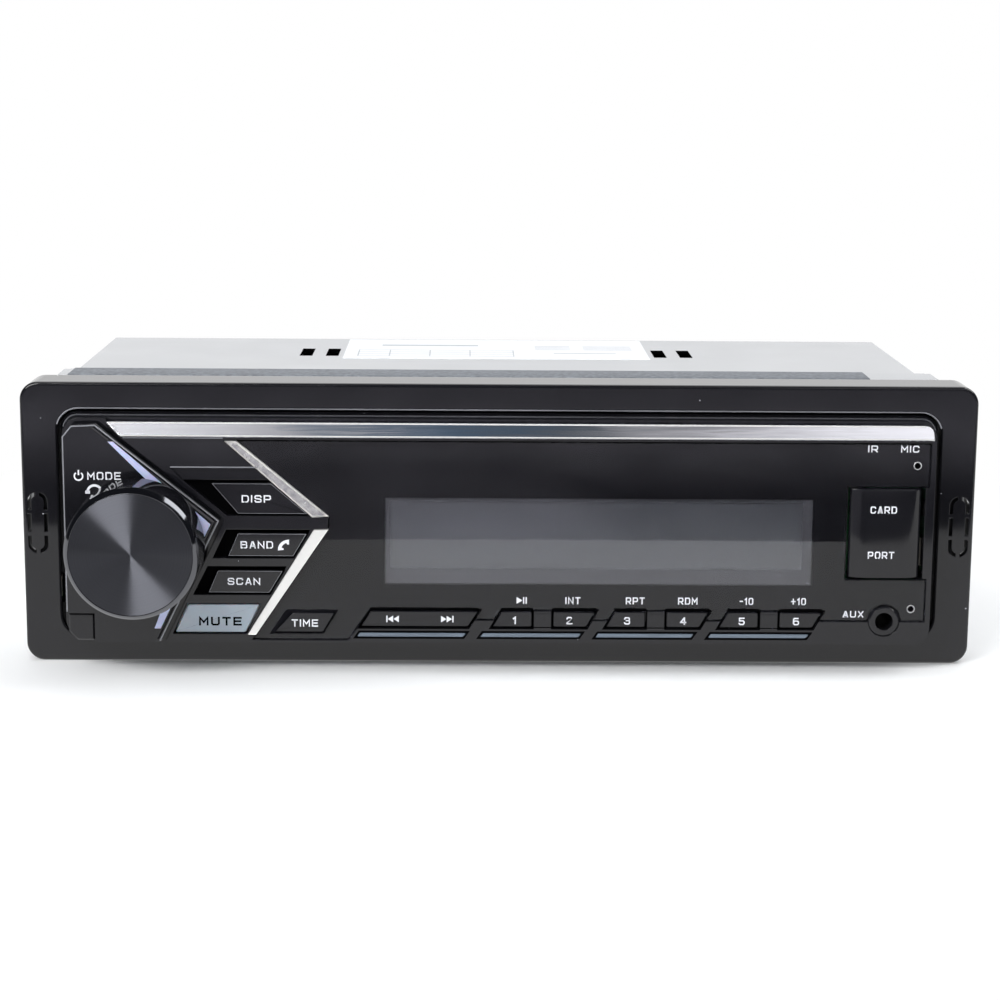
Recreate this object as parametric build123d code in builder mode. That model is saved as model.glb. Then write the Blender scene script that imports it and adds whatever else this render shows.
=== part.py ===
"""Single-slot car radio with a pull-off faceplate.

Frame: X to the right, Y to the back, Z up. The origin is the centre of the trim ring's
rear face, the plane that seats on the dashboard. The faceplate looks towards -Y.
Heights called "ahead" are millimetres in front of that seat, towards the driver.
"""
import os

from build123d import *

# ---------------------------------------------------------------- driving dimensions (mm)
# Standard single radio slot and the box that goes into it
CHASSIS_WIDTH = 178.0
CHASSIS_HEIGHT = 50.0
CHASSIS_DEPTH = 85.0
SHEET = 1.0
COVER_SHEET = 0.8

# Trim ring
TRIM_WIDTH = 188.0
TRIM_HEIGHT = 56.0
TRIM_DEPTH = 10.0
TRIM_CORNER = 3.6
TRIM_WALL = 1.0
TRIM_FACE = 2.0
OPENING_WIDTH = 173.6
OPENING_HEIGHT = 45.6
OPENING_CORNER = 4.2

# Release key slots, a broken outline on each side of the trim
KEY_SLOT_X = 91.05
KEY_SLOT_WIDTH = 3.9
KEY_SLOT_HEIGHT = 12.2
KEY_SLOT_LINE = 0.7
KEY_SLOT_BRIDGE = 0.8

# Faceplate shells
FACE_BASE_WIDTH = 172.4
FACE_BASE_HEIGHT = 44.6
FACE_FRONT_WIDTH = 168.8
FACE_FRONT_HEIGHT = 44.0
FACE_CORNER = 3.4
FACE_CAVITY_WIDTH = 166.0
FACE_CAVITY_HEIGHT = 41.6
FACE_BACK = 2.1
SHELL_SPLIT = 8.0
SKIRT_TOP = 9.5
WALL_BACK = 15.2
LENS_SEAT = 17.0
FACE_FRONT = 18.0
HOUSING_FLOOR = 1.6

# Volume knob
KNOB_X, KNOB_Z = -70.2, -2.2
KNOB_BASE_RADIUS = 13.1
KNOB_RIM_RADIUS, KNOB_RIM_DEPTH = 12.85, 1.4
KNOB_FACE_RADIUS = 11.8
KNOB_BACK = 19.8
KNOB_FRONT = 29.6
SHAFT_RADIUS = 3.0
SHAFT_PLAY = 0.05

# Bright trim on the front
STRIP_LEFT, STRIP_RIGHT = -75.9, 83.7
STRIP_BOTTOM, STRIP_TOP = 18.7, 21.5
STRIP_SEAT, STRIP_BACK, STRIP_FRONT = 16.2, 17.6, 19.2
BAR_FRONT = 18.6
KNOB_PANEL_FRONT = 19.0
GUIDE_BACK = 17.6

# Keys
KEY_FRONT = 17.7
KEY_GAP = 0.25
KEY_FLANGE = 0.5
KEY_FLANGE_TOP = 14.85
KEY_FLANGE_THICKNESS = 0.8
PLUNGER_RADIUS = 1.2
PLUNGER_BACK = 12.9
RECESS_FLOOR = 16.3

# Boards
BOARD_THICKNESS = 1.6
FRONT_BOARD_BACK = 8.4
FRONT_BOARD_FRONT = FRONT_BOARD_BACK + BOARD_THICKNESS
MAIN_BOARD_Z = -18.0

# Where each function sits on the faceplate, X and Z
AUX_X, AUX_Z = 75.4, -17.3
AUX_BORE_RADIUS = 1.75
MIC_X, MIC_Z = 80.8, 13.7
RESET_X, RESET_Z = 80.6, -14.8
PIN_HOLE_RADIUS = 0.6
IR_X, IR_Z = 72.8, 12.9
RELEASE_TRAVEL = 1.5
DOOR_LEFT, DOOR_RIGHT = 68.1, 81.9
DOOR_BOTTOM, DOOR_TOP = -8.6, 9.1
BAY_LEFT, BAY_RIGHT = 67.5, 82.6
BAY_BOTTOM, BAY_TOP = -8.9, 9.4
DOOR_AXIS_X, DOOR_AXIS_AHEAD = 69.8, 16.2
DOOR_PIN_RADIUS = 0.5
LCD_LEFT, LCD_RIGHT = -22.5, 61.0
LCD_BOTTOM, LCD_TOP = -10.4, 6.8

# Outlines on the front, as X, Z corners
BUTTON_CORNER = [(-90.0, -16.1), (-78.9, -16.1), (-78.9, -24.0), (-90.0, -24.0)]
KNOB_PANEL_OUTLINE = [
    (-84.4, 18.8), (-82.6, 21.0), (-77.9, 21.2), (-54.3, 2.3),
    (-66.1, -21.8), (-78.9, -21.8), (-78.9, -16.1), (-84.4, -16.1),
]
LIGHT_GUIDE_OUTLINE = [
    (-75.6, 17.8), (-74.6, 17.8), (-56.1, 1.7), (-66.1, -19.1),
    (-67.3, -19.1), (-59.3, 2.0), (-68.6, 10.7),
]
UPPER_BAR = [(-53.3, 17.9), (-51.0, 17.9), (-33.3, 3.2), (-36.5, 3.0)]
LOWER_BAR = [(-36.2, 0.5), (-33.4, 0.6), (-47.6, -20.4), (-49.2, -20.4)]
LENS_TOP = 18.0
LENS_RIGHT = 83.3
LENS_SHELF = -17.3
KEY_LINE = -15.4
FACE_BOTTOM_LINE = -21.4

# Left-hand keys: each key's outline and the deeper recess that it sits in
KEYS = {
    "key_display": [(-56.1, 9.6), (-44.4, 9.6), (-37.3, 3.5), (-50.9, 3.5)],
    "key_band": [(-51.0, -0.3), (-37.5, -0.3), (-40.2, -4.9), (-53.0, -4.9)],
    "key_scan": [(-55.0, -7.7), (-42.2, -7.7), (-44.9, -12.2), (-56.9, -12.2)],
    "key_mute": [(-60.8, -14.5), (-46.9, -14.5), (-49.7, -20.1), (-63.4, -20.1)],
    "key_clock": [(-40.4, -16.1), (-32.3, -16.1), (-34.6, -20.0), (-44.1, -20.0)],
}
RECESSES = {
    "key_display": [(-61.4, 10.1), (-44.1, 10.1), (-36.6, 3.2), (-53.0, 3.2)],
    "key_band": [(-53.2, 0.5), (-36.9, 0.5), (-40.2, -5.2), (-55.9, -5.2)],
    "key_scan": [(-56.9, -6.8), (-41.6, -6.8), (-44.7, -12.5), (-59.8, -12.5)],
    "key_mute": [(-61.1, -14.2), (-46.6, -14.2), (-49.4, -20.35), (-63.9, -20.35)],
    "key_clock": [(-41.7, -15.4), (-31.4, -15.4), (-34.5, -20.3), (-45.0, -20.3)],
}
BLANK_STEP = [(-63.8, 12.6), (-46.6, 12.6), (-44.1, 10.1), (-61.4, 10.1)]

# Seek rocker and the three pairs of preset keys under the display
ROCKER = [(-25.2, -15.7), (-4.2, -15.7), (-6.2, -18.8), (-27.2, -18.8)]
ROCKER_AXIS_X, ROCKER_AXIS_AHEAD = -15.7, 14.3
ROCKER_PIN_RADIUS = 0.5
PAIR_LEFT = 0.4
PAIR_PITCH = 22.2
PAIR_COUNT = 3
LEFT_PRESET = [(0.0, -15.7), (5.9, -15.7), (5.9, -18.8), (-1.8, -18.8)]
RIGHT_PRESET = [(10.1, -15.7), (18.3, -15.7), (16.6, -18.8), (10.1, -18.8)]
PAIR_FILLER = [(6.6, -16.2), (9.4, -16.2), (9.4, -18.4), (6.6, -18.4)]
LIGHT_BAR_ENDS = [(-28.1, -6.4), (-4.0, 16.2), (18.6, 38.3), (40.7, 60.9)]
LIGHT_BAR_BOTTOM, LIGHT_BAR_TOP = -20.9, -19.9
LIGHT_BAR_SLANT = 0.7

# Rear connections, X and Z on the rear panel
ISO_X, ISO_Z = 12.0, -2.0
ISO_WIDTH, ISO_HEIGHT, ISO_DEPTH = 24.0, 24.0, 11.0
ISO_CAVITY_WIDTH, ISO_CAVITY_HEIGHT = 20.8, 9.6
ANTENNA_X, ANTENNA_Z = 76.0, -6.0
ANTENNA_BORE = 4.75
ANTENNA_BORE_DEPTH = 10.0
RCA_X, RCA_Z, RCA_PITCH = 46.0, -4.0, 14.0
FUSE_X, FUSE_Z = -14.0, -2.0
STUD_X, STUD_Z = 62.0, 13.0
STUD_RADIUS = 2.5
STUD_NECK_RADIUS = 2.2
STUD_LENGTH = 9.0
HEAT_SINK_X = -52.0
HEAT_SINK_WIDTH = 54.0
HEAT_SINK_HEIGHT = 38.0
HEAT_SINK_DEPTH = 12.0
FIN_COUNT = 11
FIN_THICKNESS = 1.6

# Chassis details
SIDE_HOLE_RADIUS = 2.5
SIDE_HOLE_Z = -8.0
SIDE_HOLE_NEAR, SIDE_HOLE_SPACING = 24.0, 46.0
SLOT_X = (36.6, 42.4)
SLOT_WIDTH, SLOT_LENGTH, SLOT_CENTRE = 2.8, 12.4, 60.6
BAND_FRONT, BAND_BACK = 11.0, 23.0
BAND_RISE = 1.4
SCREW_RADIUS = 1.5
SCREW_HEAD_RADIUS = 2.8

os.makedirs("parts", exist_ok=True)


def ahead(distance):
    """Sketch plane that many millimetres in front of the seat: local Y is up."""
    return Plane.XZ.offset(distance)


def behind(distance):
    """Sketch plane behind the seat whose normal still looks forward."""
    return Plane.XZ.offset(-distance)


def shifted(points, distance):
    """The same outline moved along X."""
    return [(x + distance, z) for x, z in points]


def centre(points):
    """Middle of an outline's corners."""
    return (sum(x for x, _ in points) / len(points), sum(z for _, z in points) / len(points))


def save(builder, name):
    """Label the finished piece and write its STEP file."""
    builder.part.label = name
    export_step(builder.part, f"parts/{name}.step")


PRESETS = {}
for pair in range(PAIR_COUNT):
    offset_x = PAIR_LEFT + pair * PAIR_PITCH
    PRESETS[f"preset_{2 * pair + 1}"] = shifted(LEFT_PRESET, offset_x)
    PRESETS[f"preset_{2 * pair + 2}"] = shifted(RIGHT_PRESET, offset_x)

# The clear lens runs from the chevron to the right edge, stepping round the lower keys
LENS_OUTLINE = [(-51.0, LENS_TOP), (LENS_RIGHT, LENS_TOP), (LENS_RIGHT, BAY_TOP)]
LENS_OUTLINE += [(BAY_LEFT, BAY_TOP), (BAY_LEFT, BAY_BOTTOM), (LENS_RIGHT, BAY_BOTTOM)]
LENS_OUTLINE += [(LENS_RIGHT, LENS_SHELF)]
for pair in reversed(range(PAIR_COUNT)):
    offset_x = PAIR_LEFT + pair * PAIR_PITCH
    LENS_OUTLINE += [(17.5 + offset_x, LENS_SHELF), (18.8 + offset_x, KEY_LINE)]
    LENS_OUTLINE += [(-0.2 + offset_x, KEY_LINE), (-1.4 + offset_x, LENS_SHELF)]
LENS_OUTLINE += [(-5.0, LENS_SHELF), (-3.8, KEY_LINE), (-25.4, KEY_LINE)]
LENS_OUTLINE += [(-29.6, FACE_BOTTOM_LINE), (-48.2, FACE_BOTTOM_LINE), (-33.4, 0.6)]
LENS_OUTLINE += [(-33.3, 3.2)]

# ---------------------------------------------------------------- trim ring
with BuildPart() as trim_ring:
    with BuildSketch(ahead(0)):
        RectangleRounded(TRIM_WIDTH, TRIM_HEIGHT, TRIM_CORNER)
    extrude(amount=TRIM_DEPTH)
    front_face = trim_ring.faces().sort_by(Axis.Y)[0]
    fillet(front_face.outer_wire().edges(), radius=0.7)
    with BuildSketch(ahead(0)):
        RectangleRounded(
            TRIM_WIDTH - 2 * TRIM_WALL, TRIM_HEIGHT - 2 * TRIM_WALL, TRIM_CORNER - TRIM_WALL
        )
    extrude(amount=TRIM_DEPTH - TRIM_FACE, mode=Mode.SUBTRACT)
    with BuildSketch(ahead(0)):
        RectangleRounded(OPENING_WIDTH, OPENING_HEIGHT, OPENING_CORNER)
    extrude(amount=TRIM_DEPTH, mode=Mode.SUBTRACT)
    rim = trim_ring.faces().sort_by(Axis.Y)[0].inner_wires()[0].edges()
    chamfer(rim, length=0.3)
    for side in (-1, 1):
        with BuildSketch(ahead(TRIM_DEPTH - TRIM_FACE)):
            with Locations((side * KEY_SLOT_X, 0)):
                RectangleRounded(KEY_SLOT_WIDTH, KEY_SLOT_HEIGHT, KEY_SLOT_WIDTH / 2 - 0.05)
                RectangleRounded(
                    KEY_SLOT_WIDTH - 2 * KEY_SLOT_LINE,
                    KEY_SLOT_HEIGHT - 2 * KEY_SLOT_LINE,
                    KEY_SLOT_WIDTH / 2 - KEY_SLOT_LINE - 0.05,
                    mode=Mode.SUBTRACT,
                )
                Rectangle(KEY_SLOT_BRIDGE, KEY_SLOT_HEIGHT + 1, mode=Mode.SUBTRACT)
            with Locations((side * KEY_SLOT_X, 2.2), (side * KEY_SLOT_X, -2.2)):
                Rectangle(KEY_SLOT_WIDTH + 1, KEY_SLOT_BRIDGE, mode=Mode.SUBTRACT)
        extrude(amount=TRIM_FACE, mode=Mode.SUBTRACT)
save(trim_ring, "trim_ring")

# ---------------------------------------------------------------- front frame
FRAME_WIDTH, FRAME_HEIGHT = 184.0, 52.0
POCKET_WIDTH, POCKET_HEIGHT = 173.0, 45.2
FRAME_FLOOR = 1.8
SKIRT_REACH = 8.0
SKIRT_WALL = 1.6
CONNECTOR_X, CONNECTOR_Z = 30.0, 0.0
CONNECTOR_WIDTH, CONNECTOR_HEIGHT = 36.0, 9.0
LATCH_Z = -13.5
# Side screws, as Y, Z: two for the cover and two for the frame on each side
COVER_SCREWS = [(34.0, 18.0), (66.0, 18.0)]
FRAME_SCREWS = [(SKIRT_REACH / 2, 12.0), (SKIRT_REACH / 2, -12.0)]

with BuildPart() as front_frame:
    with BuildSketch(ahead(0)):
        RectangleRounded(FRAME_WIDTH, FRAME_HEIGHT, 2.5)
    extrude(amount=TRIM_DEPTH - TRIM_FACE)
    with BuildSketch(ahead(FRAME_FLOOR)):
        RectangleRounded(POCKET_WIDTH, POCKET_HEIGHT, 3.6)
    extrude(amount=TRIM_DEPTH, mode=Mode.SUBTRACT)
    with BuildSketch(ahead(0)):
        RectangleRounded(CHASSIS_WIDTH - 4.2, CHASSIS_HEIGHT - 4.2, 2)
        RectangleRounded(
            CHASSIS_WIDTH - 4.2 - 2 * SKIRT_WALL, CHASSIS_HEIGHT - 4.2 - 2 * SKIRT_WALL, 1,
            mode=Mode.SUBTRACT,
        )
    extrude(amount=-SKIRT_REACH)
    with BuildSketch(ahead(0)):
        with Locations((CONNECTOR_X, CONNECTOR_Z)):
            Rectangle(CONNECTOR_WIDTH, CONNECTOR_HEIGHT)
    extrude(amount=FRAME_FLOOR, mode=Mode.SUBTRACT)
    with BuildSketch(ahead(FRAME_FLOOR)):
        with Locations((-POCKET_WIDTH / 2, LATCH_Z)):
            Rectangle(2.0, 6.0)
    extrude(amount=TRIM_DEPTH, mode=Mode.SUBTRACT)
    with BuildSketch(Plane.YZ):
        with Locations(*FRAME_SCREWS):
            Circle(SCREW_RADIUS)
    extrude(amount=FRAME_WIDTH, both=True, mode=Mode.SUBTRACT)
save(front_frame, "front_frame")

# ---------------------------------------------------------------- chassis tray
HALF_WIDTH = CHASSIS_WIDTH / 2
HALF_HEIGHT = CHASSIS_HEIGHT / 2
TRAY_LENGTH = CHASSIS_DEPTH - SHEET
BOARD_TAB_X = (-70.0, 70.0)
BOARD_TAB_Y = (14.0, 70.0)
VENT_COUNT = 7

with BuildPart() as chassis_tray:
    with BuildSketch(ahead(0)):
        Rectangle(CHASSIS_WIDTH, CHASSIS_HEIGHT)
        with Locations((0, SHEET)):
            Rectangle(CHASSIS_WIDTH - 2 * SHEET, CHASSIS_HEIGHT, mode=Mode.SUBTRACT)
        with Locations((0, HALF_HEIGHT - COVER_SHEET / 2)):
            Rectangle(CHASSIS_WIDTH, COVER_SHEET, mode=Mode.SUBTRACT)
    extrude(amount=-TRAY_LENGTH)
    # Lanced tabs that carry the main board
    with BuildSketch(Plane.XY.offset(-HALF_HEIGHT + SHEET)):
        with Locations(*[(x, y) for x in BOARD_TAB_X for y in BOARD_TAB_Y]):
            Rectangle(6, 6)
    extrude(amount=MAIN_BOARD_Z + HALF_HEIGHT - SHEET)
    with Locations(*[(x, y, MAIN_BOARD_Z) for x in BOARD_TAB_X for y in BOARD_TAB_Y]):
        Hole(SCREW_RADIUS, depth=4)
    # Side bracket holes, cover screw holes and front frame screw holes
    side_ys = (SIDE_HOLE_NEAR, SIDE_HOLE_NEAR + SIDE_HOLE_SPACING)
    with BuildSketch(Plane.YZ):
        with Locations(*[(y, SIDE_HOLE_Z) for y in side_ys]):
            Circle(SIDE_HOLE_RADIUS)
        with Locations(*COVER_SCREWS, *FRAME_SCREWS):
            Circle(SCREW_RADIUS)
    extrude(amount=CHASSIS_WIDTH, both=True, mode=Mode.SUBTRACT)
    # Vent slots in the floor
    with BuildSketch(Plane.XY.offset(-HALF_HEIGHT)):
        with GridLocations(9, 1, VENT_COUNT, 1):
            with Locations((0, 46)):
                SlotOverall(24, 2.6, rotation=90)
    extrude(amount=SHEET, mode=Mode.SUBTRACT)
save(chassis_tray, "chassis_tray")

# ---------------------------------------------------------------- top cover
BAND_TOP = HALF_HEIGHT + BAND_RISE
BAND_HALF_WIDTH = HALF_WIDTH + 1.2
BAND_MIDDLE = (BAND_FRONT + BAND_BACK) / 2 - 1
BAND_LENGTH = BAND_BACK - BAND_FRONT - 3
COVER_FLANGE_DROP = 10.0
COVER_FLANGE_LENGTH = 46.0
COVER_FLANGE_MIDDLE = 50.0

with BuildPart() as top_cover:
    # Side view: low front strip, raised band, step, then the flat top
    with BuildSketch(Plane.YZ.offset(-HALF_WIDTH)):
        under = HALF_HEIGHT - COVER_SHEET
        Polygon(
            (0, under), (BAND_FRONT, under), (BAND_FRONT, BAND_TOP - COVER_SHEET),
            (BAND_BACK - 3, BAND_TOP - COVER_SHEET), (BAND_BACK - 1.2, under),
            (CHASSIS_DEPTH, under), (CHASSIS_DEPTH, HALF_HEIGHT), (BAND_BACK, HALF_HEIGHT),
            (BAND_BACK - 2, BAND_TOP), (BAND_FRONT - COVER_SHEET, BAND_TOP),
            (BAND_FRONT - COVER_SHEET, HALF_HEIGHT), (0, HALF_HEIGHT),
            align=None,
        )
    extrude(amount=CHASSIS_WIDTH)
    # The band folds down outside the tray on both sides
    for side in (-1, 1):
        with BuildSketch(Plane.XY.offset(BAND_TOP - 7)):
            with Locations((side * (BAND_HALF_WIDTH - COVER_SHEET / 2), BAND_MIDDLE)):
                Rectangle(COVER_SHEET, BAND_LENGTH)
        extrude(amount=7)
        with BuildSketch(Plane.XY.offset(BAND_TOP - COVER_SHEET)):
            with Locations((side * (BAND_HALF_WIDTH - 1.4), BAND_MIDDLE)):
                Rectangle(2.8, BAND_LENGTH)
        extrude(amount=COVER_SHEET)
        with BuildSketch(Plane.XY.offset(HALF_HEIGHT - COVER_SHEET)):
            with Locations((side * (HALF_WIDTH - SHEET - COVER_SHEET / 2), COVER_FLANGE_MIDDLE)):
                Rectangle(COVER_SHEET, COVER_FLANGE_LENGTH)
        extrude(amount=-COVER_FLANGE_DROP)
    # Vent slots
    with BuildSketch(Plane.XY.offset(HALF_HEIGHT)):
        with Locations(*[(side * x, SLOT_CENTRE) for x in SLOT_X for side in (-1, 1)]):
            Rectangle(SLOT_WIDTH, SLOT_LENGTH)
    extrude(amount=-COVER_SHEET, mode=Mode.SUBTRACT)
    with BuildSketch(Plane.YZ):
        with Locations(*COVER_SCREWS):
            Circle(SCREW_RADIUS)
    extrude(amount=CHASSIS_WIDTH, both=True, mode=Mode.SUBTRACT)
save(top_cover, "top_cover")

# ---------------------------------------------------------------- rear panel
REAR_FACE = CHASSIS_DEPTH
REAR_SCREWS = [(-85, 18), (85, 18), (-85, -18), (85, -18)]
PANEL_HEIGHT = CHASSIS_HEIGHT - COVER_SHEET
with BuildPart() as rear_panel:
    with BuildSketch(behind(REAR_FACE)):
        with Locations((0, -COVER_SHEET / 2)):
            Rectangle(CHASSIS_WIDTH, PANEL_HEIGHT)
        with Locations((ISO_X, ISO_Z)):
            Rectangle(ISO_WIDTH - 2, ISO_HEIGHT - 2, mode=Mode.SUBTRACT)
        with Locations((ANTENNA_X, ANTENNA_Z)):
            Circle(5.4, mode=Mode.SUBTRACT)
        with Locations((RCA_X - RCA_PITCH / 2, RCA_Z), (RCA_X + RCA_PITCH / 2, RCA_Z)):
            Circle(4.2, mode=Mode.SUBTRACT)
        with Locations((FUSE_X, FUSE_Z)):
            Rectangle(5, 17, mode=Mode.SUBTRACT)
        with Locations((STUD_X, STUD_Z)):
            Circle(STUD_NECK_RADIUS + 0.05, mode=Mode.SUBTRACT)
        with Locations((HEAT_SINK_X, 0)):
            Rectangle(HEAT_SINK_WIDTH - 16, 24, mode=Mode.SUBTRACT)
        with Locations(*REAR_SCREWS):
            Circle(SCREW_RADIUS, mode=Mode.SUBTRACT)
    extrude(amount=SHEET)
    # Inward flanges that the corner screws hold
    for side in (-1, 1):
        with BuildSketch(behind(REAR_FACE - SHEET)):
            with Locations((side * (HALF_WIDTH - SHEET - 0.6), 0)):
                Rectangle(1.0, 30)
        extrude(amount=8)
save(rear_panel, "rear_panel")

# ---------------------------------------------------------------- parts on the rear panel
with BuildPart() as heat_sink:
    with BuildSketch(behind(REAR_FACE)):
        with Locations((HEAT_SINK_X, 0)):
            Rectangle(HEAT_SINK_WIDTH, HEAT_SINK_HEIGHT)
    extrude(amount=-3)
    fin_pitch = (HEAT_SINK_WIDTH - FIN_THICKNESS) / (FIN_COUNT - 1)
    with BuildSketch(behind(REAR_FACE + 3)):
        with Locations((HEAT_SINK_X, 0)):
            with GridLocations(fin_pitch, 1, FIN_COUNT, 1):
                Rectangle(FIN_THICKNESS, HEAT_SINK_HEIGHT)
    extrude(amount=3 - HEAT_SINK_DEPTH)
    # The pad that reaches in to the amplifier chip
    with BuildSketch(behind(REAR_FACE)):
        with Locations((HEAT_SINK_X, 0)):
            Rectangle(HEAT_SINK_WIDTH - 18, 22)
    extrude(amount=3)
save(heat_sink, "heat_sink")

ISO_PIN_WIDTH, ISO_PIN_THICKNESS = 2.2, 0.8
with BuildPart() as iso_connector:
    with BuildSketch(behind(REAR_FACE + 3)):
        with Locations((ISO_X, ISO_Z)):
            Rectangle(ISO_WIDTH, ISO_HEIGHT)
    extrude(amount=3)
    with BuildSketch(behind(REAR_FACE)):
        with Locations((ISO_X, ISO_Z)):
            Rectangle(ISO_WIDTH - 2.2, ISO_HEIGHT - 2.2)
    extrude(amount=ISO_DEPTH)
    # One cavity above the other
    with BuildSketch(behind(REAR_FACE + 3)):
        with Locations((ISO_X, ISO_Z)):
            with GridLocations(1, ISO_CAVITY_HEIGHT + 1.4, 1, 2):
                Rectangle(ISO_CAVITY_WIDTH, ISO_CAVITY_HEIGHT)
    extrude(amount=ISO_DEPTH, mode=Mode.SUBTRACT)
save(iso_connector, "iso_connector")

with BuildPart() as iso_pins:
    with BuildSketch(behind(REAR_FACE + 2)):
        with Locations((ISO_X, ISO_Z)):
            with GridLocations(1, ISO_CAVITY_HEIGHT + 1.4, 1, 2):
                with GridLocations(5.0, 4.6, 4, 2):
                    Rectangle(ISO_PIN_WIDTH, ISO_PIN_THICKNESS)
    extrude(amount=ISO_DEPTH - 2)
save(iso_pins, "iso_pins")

with BuildPart() as antenna_socket:
    with BuildSketch(behind(REAR_FACE)):
        with Locations((ANTENNA_X, ANTENNA_Z)):
            Circle(7.0)
    extrude(amount=-1.2)
    with BuildSketch(behind(REAR_FACE + 6)):
        with Locations((ANTENNA_X, ANTENNA_Z)):
            Circle(5.35)
    extrude(amount=16)
    with BuildSketch(behind(REAR_FACE + 6)):
        with Locations((ANTENNA_X, ANTENNA_Z)):
            Circle(ANTENNA_BORE)
    extrude(amount=ANTENNA_BORE_DEPTH, mode=Mode.SUBTRACT)
    # Contact sleeve at the bottom, in a narrower pocket
    with BuildSketch(behind(REAR_FACE + 6 - ANTENNA_BORE_DEPTH)):
        with Locations((ANTENNA_X, ANTENNA_Z)):
            Circle(ANTENNA_BORE - 0.6)
            Circle(2.2, mode=Mode.SUBTRACT)
            Circle(1.6)
    extrude(amount=4, mode=Mode.SUBTRACT)
save(antenna_socket, "antenna_socket")

with BuildPart() as rca_jacks:
    for x in (RCA_X - RCA_PITCH / 2, RCA_X + RCA_PITCH / 2):
        with BuildSketch(behind(REAR_FACE)):
            with Locations((x, RCA_Z)):
                Circle(5.5)
        extrude(amount=-1.5)
        with BuildSketch(behind(REAR_FACE + 9)):
            with Locations((x, RCA_Z)):
                Circle(4.15)
        extrude(amount=17)
        with BuildSketch(behind(REAR_FACE + 9)):
            with Locations((x, RCA_Z)):
                Circle(1.7)
        extrude(amount=12, mode=Mode.SUBTRACT)
save(rca_jacks, "rca_jacks")

with BuildPart() as fuse:
    with BuildSketch(behind(REAR_FACE + 5)):
        with Locations((FUSE_X, FUSE_Z)):
            RectangleRounded(4.6, 16.4, 0.8)
    extrude(amount=9)
    with BuildSketch(behind(REAR_FACE - 4)):
        with Locations((FUSE_X, FUSE_Z)):
            with GridLocations(1, 10, 1, 2):
                Rectangle(0.8, 4.6)
    extrude(amount=5)
save(fuse, "fuse")

with BuildPart() as rear_stud:
    with BuildSketch(behind(REAR_FACE + STUD_LENGTH)):
        with Locations((STUD_X, STUD_Z)):
            Circle(STUD_RADIUS)
    extrude(amount=STUD_LENGTH)
    with BuildSketch(behind(REAR_FACE)):
        with Locations((STUD_X, STUD_Z)):
            Circle(STUD_NECK_RADIUS)
    extrude(amount=SHEET)
    with BuildSketch(behind(REAR_FACE - SHEET)):
        with Locations((STUD_X, STUD_Z)):
            RegularPolygon(4.6, 6)
    extrude(amount=3)
    chamfer(rear_stud.faces().sort_by(Axis.Y)[-1].edges(), length=0.4)
save(rear_stud, "rear_stud")

# ---------------------------------------------------------------- inside the chassis
BOARD_WIDTH, BOARD_LENGTH = 170.0, 70.0
BOARD_FRONT_Y = 9.5
BOARD_MIDDLE_Y = BOARD_FRONT_Y + BOARD_LENGTH / 2
BOARD_TOP_Z = MAIN_BOARD_Z + BOARD_THICKNESS

with BuildPart() as main_board:
    with BuildSketch(Plane.XY.offset(MAIN_BOARD_Z)):
        with Locations((0, BOARD_MIDDLE_Y)):
            Rectangle(BOARD_WIDTH, BOARD_LENGTH)
        with Locations(*[(x, y) for x in BOARD_TAB_X for y in BOARD_TAB_Y]):
            Circle(SCREW_RADIUS + 0.2, mode=Mode.SUBTRACT)
    extrude(amount=BOARD_THICKNESS)
save(main_board, "main_board")

with BuildPart() as amplifier_chip:
    with BuildSketch(behind(REAR_FACE - 3)):
        with Locations((HEAT_SINK_X, 0)):
            Rectangle(29, 15)
    extrude(amount=4.5)
    with BuildSketch(behind(REAR_FACE - 5.4)):
        with Locations((HEAT_SINK_X, (BOARD_TOP_Z - 7.5) / 2)):
            with GridLocations(1.7, 1, 15, 1):
                Rectangle(0.7, -7.5 - BOARD_TOP_Z)
    extrude(amount=0.5)
save(amplifier_chip, "amplifier_chip")

TUNER_SIZE = (38.0, 26.0, 13.0)
with BuildPart() as tuner_module:
    with Locations((62, 56, BOARD_TOP_Z)):
        Box(*TUNER_SIZE, align=(Align.CENTER, Align.CENTER, Align.MIN))
    fillet(tuner_module.edges().filter_by(Axis.Z), radius=0.8)
save(tuner_module, "tuner_module")

with BuildPart() as capacitors:
    with BuildSketch(Plane.XY.offset(BOARD_TOP_Z)):
        with Locations((-20, 60), (-4, 60)):
            Circle(6.4)
    extrude(amount=22)
    with BuildSketch(Plane.XY.offset(BOARD_TOP_Z)):
        with Locations((12, 40), (24, 40), (12, 28), (24, 28)):
            Circle(4.0)
    extrude(amount=12)
save(capacitors, "capacitors")

with BuildPart() as logic_chips:
    with BuildSketch(Plane.XY.offset(BOARD_TOP_Z)):
        with Locations((-40, 36)):
            Rectangle(14, 14)
        with Locations((-14, 32), (-62, 40)):
            Rectangle(10, 6)
    extrude(amount=1.6)
save(logic_chips, "logic_chips")

# ---------------------------------------------------------------- chassis hardware
LABEL_WIDTH, LABEL_LENGTH, LABEL_THICKNESS = 68.0, 33.0, 0.1
with BuildPart() as rating_label:
    with BuildSketch(Plane.XY.offset(HALF_HEIGHT)):
        with Locations((0, 50.5 + LABEL_LENGTH / 2)):
            Rectangle(LABEL_WIDTH, LABEL_LENGTH)
    extrude(amount=LABEL_THICKNESS)
save(rating_label, "rating_label")

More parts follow.
